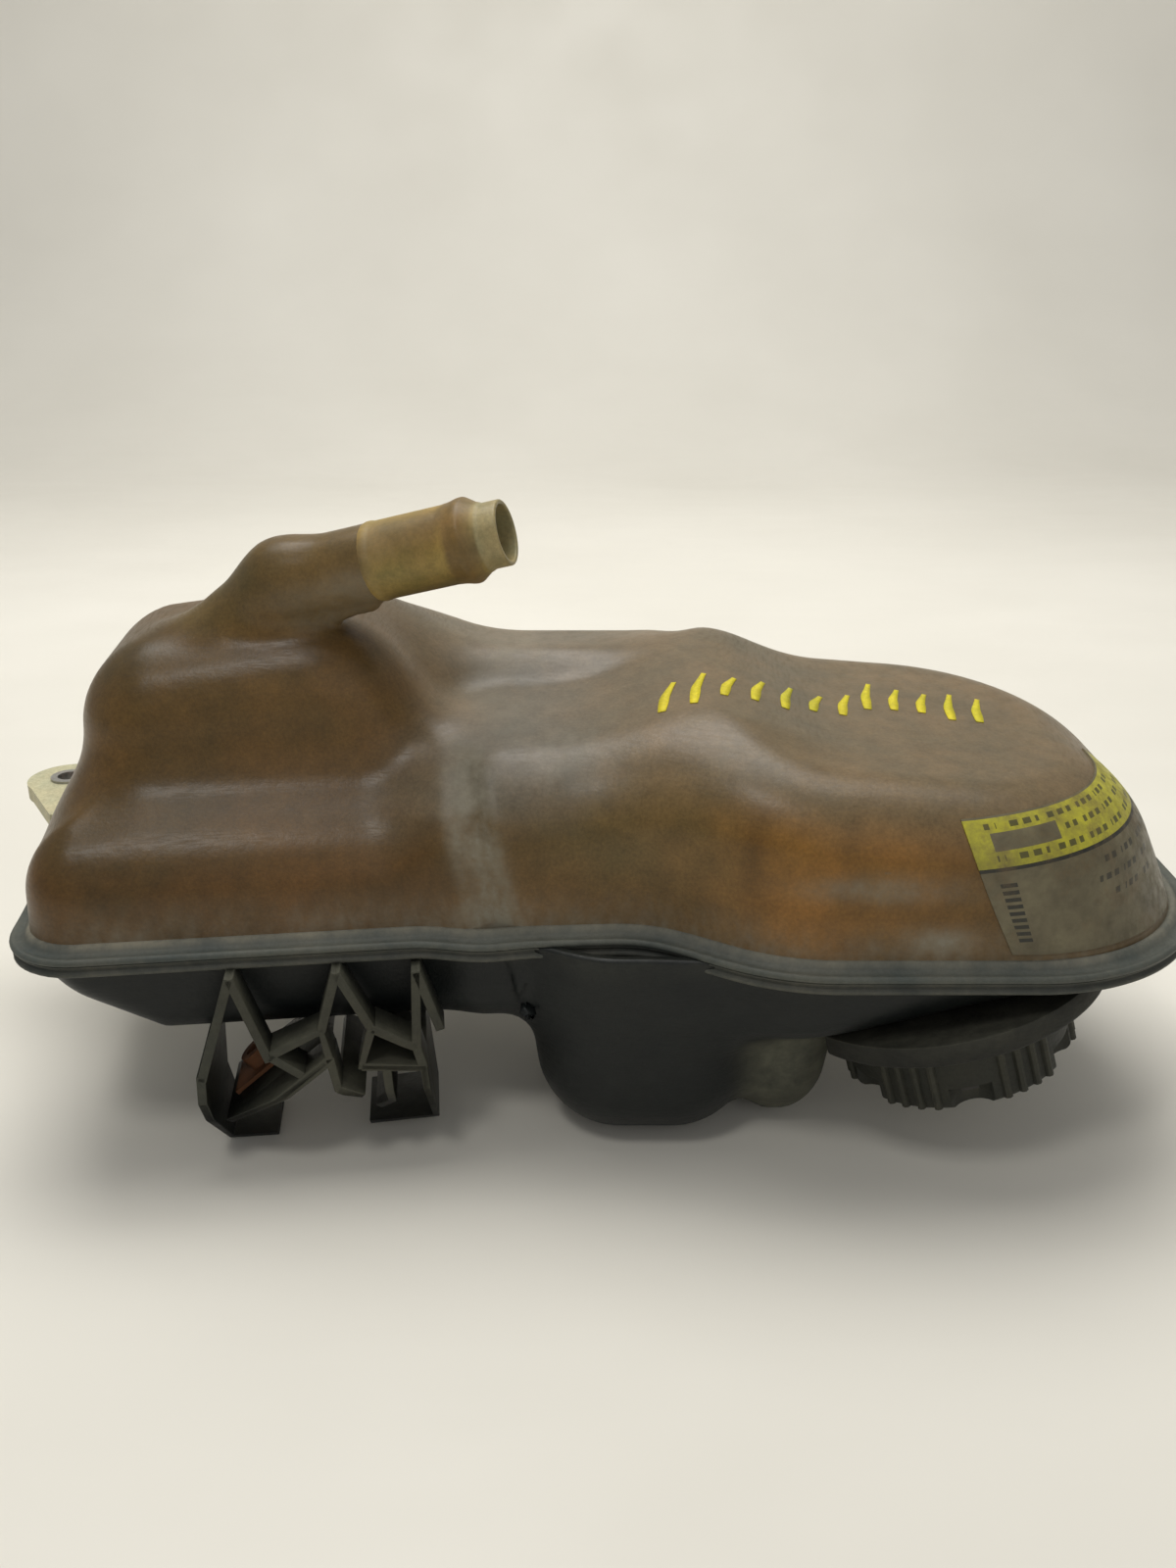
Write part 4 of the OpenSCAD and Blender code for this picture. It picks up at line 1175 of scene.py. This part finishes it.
class TANK_OT_cap_grip(bpy.types.Operator):
    """Grip of the cap: cup with rib groups between smooth panels and thumb notches"""
    bl_idname = "tank.cap_grip"
    bl_label = "Cap grip"

    def execute(self, context):
        sizes = context.scene.cap_sizes
        low, top = GRIP_LOW, GRIP_TOP
        profile = round_corners([
            (23.9, low + 2), (23.9, low + 0.4), (25, low),
            (GRIP_R - 1.5, low), (GRIP_R, low + 1.5), (GRIP_R, top - 4),
            (GRIP_R + 1.5, top - 2.8), (GRIP_R + 1.5, top), (33.25, top), (33.25, low + 4), (21.5, low + 4),
            (21.5, low + 2)], 0.7, 2)
        points, faces = revolve(profile, 144)
        grip = outward(new_piece("cap_grip_cup", points + MIDDLE, faces))
        cutters = []
        for g in range(sizes.groups):
            a = 2 * math.pi / sizes.groups * g + math.radians(GRIP_TURN)
            spot = ((GRIP_R + 2) * math.cos(a), (GRIP_R + 2) * math.sin(a))
            points, faces = round_bar(7.5, low - 1, low + 8, spot)
            cutters.append(new_piece("notch", points + MIDDLE, faces, False))
        cut_with(grip, cutters)
        plastic = aged_plastic(
            "Cap_Plastic", tuple(linear(92, 90, 76)), rough=0.5, dusty_rough=0.85, contrast=0.4, bump=0.35)
        height = (top - 3 - low - 1.5) * MM
        rib_ring_tree().run(
            grip, plastic, Count=sizes.groups * sizes.per_group, Per_Group=sizes.per_group,
            Group_Step=2 * math.pi / sizes.groups, Rib_Step=math.radians(8.5),
            Start=math.radians(GRIP_TURN) + math.pi / sizes.groups,
            Radius=GRIP_R * MM, Height=(low + 1.2) * MM + height / 2, Bar_Size=(0.0030, 0.0030, height))
        grip.data.transform(cap_matrix())
        n = normal_array(grip.data)
        p = back(vertex_array(grip.data)) - CAP_AT
        local = p @ cap_axes()
        proud = step(np.hypot(local[:, 0], local[:, 1]), GRIP_R - 0.2, GRIP_R + 1.0)
        dusty = np.clip(0.06 + 0.22 * proud + 0.2 * step(n[:, 2], 0, 0.8), 0, 1)
        paint(grip, np.array(linear(35, 38, 33)), dusty)
        sharpen(grip, 40)
        finish_piece(grip, plastic, "cap", ["cap_grip"])
        return {"FINISHED"}


class TANK_OT_carried_parts(bpy.types.Operator):
    """Finishes for the parts whose shape is already right"""
    bl_idname = "tank.carried_parts"
    bl_label = "Carried parts"

    def execute(self, context):
        dust = tuple(linear(112, 108, 90))
        black = aged_plastic("Moulded_Black", dust, rough=0.5, tint=linear(34, 36, 35), dust=0.25)
        finishes = {
            "side_ear": aged_plastic("Pale_Plastic", dust, rough=0.45, tint=linear(186, 182, 150), dust=0.12),
            "ear_bush": metal("Zinc_Steel", (0.42, 0.42, 0.40), 0.42),
            "clip_nut": metal("Rusty_Steel", (0.20, 0.15, 0.10), 0.6, 0.7),
            "baffles": aged_plastic("Clean_Amber", dust, rough=0.4, tint=linear(120, 96, 60), dust=0.1),
            "vent_nipple_large": black, "vent_nipple_small": black, "filler_neck": black,
            "cap_insert": aged_plastic(
                "Insert_Plastic", dust, rough=0.45, tint=linear(48, 48, 50), dust=0.08),
            "cap_disc": aged_plastic("Disc_Plastic", dust, rough=0.5, tint=linear(50, 50, 46), dust=0.45),
            "valve_housing": aged_plastic(
                "Housing_Plastic", dust, rough=0.4, tint=linear(40, 41, 42), dust=0.05),
            "cap_gasket": rubber("Gasket_Rubber", (0.012, 0.012, 0.012)),
            "neck_seal": rubber("Seal_Rubber", (0.014, 0.014, 0.014)),
            "pressure_seal": rubber("Disc_Rubber", (0.015, 0.014, 0.013)),
            "pressure_spring": metal("Spring_Steel", (0.45, 0.44, 0.42), 0.3),
            "vacuum_spring": metal("Fine_Spring_Steel", (0.47, 0.46, 0.43), 0.3),
            "spring_retainer": metal("Retainer_Steel", (0.45, 0.45, 0.44), 0.35),
            "vacuum_clip": metal("Clip_Steel", (0.46, 0.46, 0.45), 0.3),
            "pressure_valve": metal("Plate_Brass", (0.50, 0.35, 0.13), 0.32),
            "vacuum_valve": metal("Valve_Brass", (0.52, 0.37, 0.15), 0.3),
        }
        for node, material in finishes.items():
            part = frame["nodes"][node]
            part.data.materials.clear()
            part.data.materials.append(material)
        return {"FINISHED"}


class TANK_OT_stage(bpy.types.Operator):
    """Camera, pale floor that curves up behind, and soft light"""
    bl_idname = "tank.stage"
    bl_label = "Stage"

    def execute(self, context):
        scene = context.scene
        ground = CAD_BOX[0][2] - 0.0003
        rows = [(-2.4, 0.0), (1.3, 0.0)]
        cove = np.linspace(0.1, math.pi / 2, 14)
        rows += [(1.3 + 0.8 * math.sin(a), 0.8 - 0.8 * math.cos(a)) for a in cove]
        rows += [(2.1, 3.0)]
        points = [(x, y, z + ground) for y, z in rows for x in (-3.5, 3.5)]
        mesh = bpy.data.meshes.new("floor")
        mesh.from_pydata(points, [], [(2 * i, 2 * i + 1, 2 * i + 3, 2 * i + 2) for i in range(len(rows) - 1)])
        mesh.shade_smooth()
        floor = bpy.data.objects.new("floor", mesh)
        mesh.materials.append(floor_sheet("Floor_Sheet"))
        scene.collection.objects.link(floor)

        camera = bpy.data.objects.new("camera", bpy.data.cameras.new("camera"))
        camera.data.lens = 31.05
        camera.data.sensor_width = 36
        camera.location = place((0.0, -427.2, 291.6))
        camera.rotation_euler = (math.radians(90 - 22), 0, 0)
        scene.collection.objects.link(camera)
        scene.camera = camera

        for name, at, aim, size, power in (
                ("overhead", (-0.1, 0.35, 1.5), (0, 0.1, 0.0), 1.1, 17.0),
                ("key", (-0.35, -0.75, 1.45), (0, 0, 0.1), 0.28, 4.0),
                ("front_fill", (0.5, -1.6, 0.8), (0, 0, 0.08), 1.4, 3.0),
                ("backdrop", (0.0, 0.7, 1.7), (0, 2.1, 0.5), 1.6, 15.0)):
            light = bpy.data.objects.new(name, bpy.data.lights.new(name, "AREA"))
            light.data.size = size
            light.data.energy = power
            light.data.color = (1.0, 0.985, 0.95)
            light.location = at
            light.rotation_euler = (Vector(aim) - Vector(at)).to_track_quat("-Z", "Y").to_euler()
            scene.collection.objects.link(light)

        world = bpy.data.worlds.new("soft_room")
        world.use_nodes = True
        world.node_tree.nodes["Background"].inputs[0].default_value = (0.95, 0.96, 0.98, 1)
        world.node_tree.nodes["Background"].inputs[1].default_value = 0.30
        scene.world = world
        scene.view_settings.view_transform = "Standard"
        return {"FINISHED"}


OPERATORS = (
    TANK_OT_natural_shell, TANK_OT_black_shell, TANK_OT_hose_spigot, TANK_OT_fill_label, TANK_OT_pen_marks,
    TANK_OT_front_bracket, TANK_OT_neck_collar, TANK_OT_cap_grip, TANK_OT_carried_parts, TANK_OT_stage)


class TANK_PT_panel(bpy.types.Panel):
    """Sizes and steps of the tank"""
    bl_idname = "TANK_PT_panel"
    bl_label = "Coolant expansion tank"
    bl_space_type = "VIEW_3D"
    bl_region_type = "UI"
    bl_category = "Tank"

    def draw(self, context):
        for group in (context.scene.tank_sizes, context.scene.cap_sizes):
            for name in group.bl_rna.properties.keys():
                if name not in {"rna_type", "name"}:
                    self.layout.prop(group, name)
        for operator in OPERATORS:
            self.layout.operator(operator.bl_idname)


CLASSES = (TankSizes, CapSizes) + OPERATORS + (TANK_PT_panel,)


def register():
    for cls in CLASSES:
        bpy.utils.register_class(cls)
    bpy.types.Scene.tank_sizes = PointerProperty(type=TankSizes)
    bpy.types.Scene.cap_sizes = PointerProperty(type=CapSizes)


def unregister():
    del bpy.types.Scene.tank_sizes
    del bpy.types.Scene.cap_sizes
    for cls in reversed(CLASSES):
        bpy.utils.unregister_class(cls)


def main():
    register()
    for operator in OPERATORS:
        group, name = operator.bl_idname.split(".")
        getattr(getattr(bpy.ops, group), name)()
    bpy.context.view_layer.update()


if __name__ == "__main__":
    main()
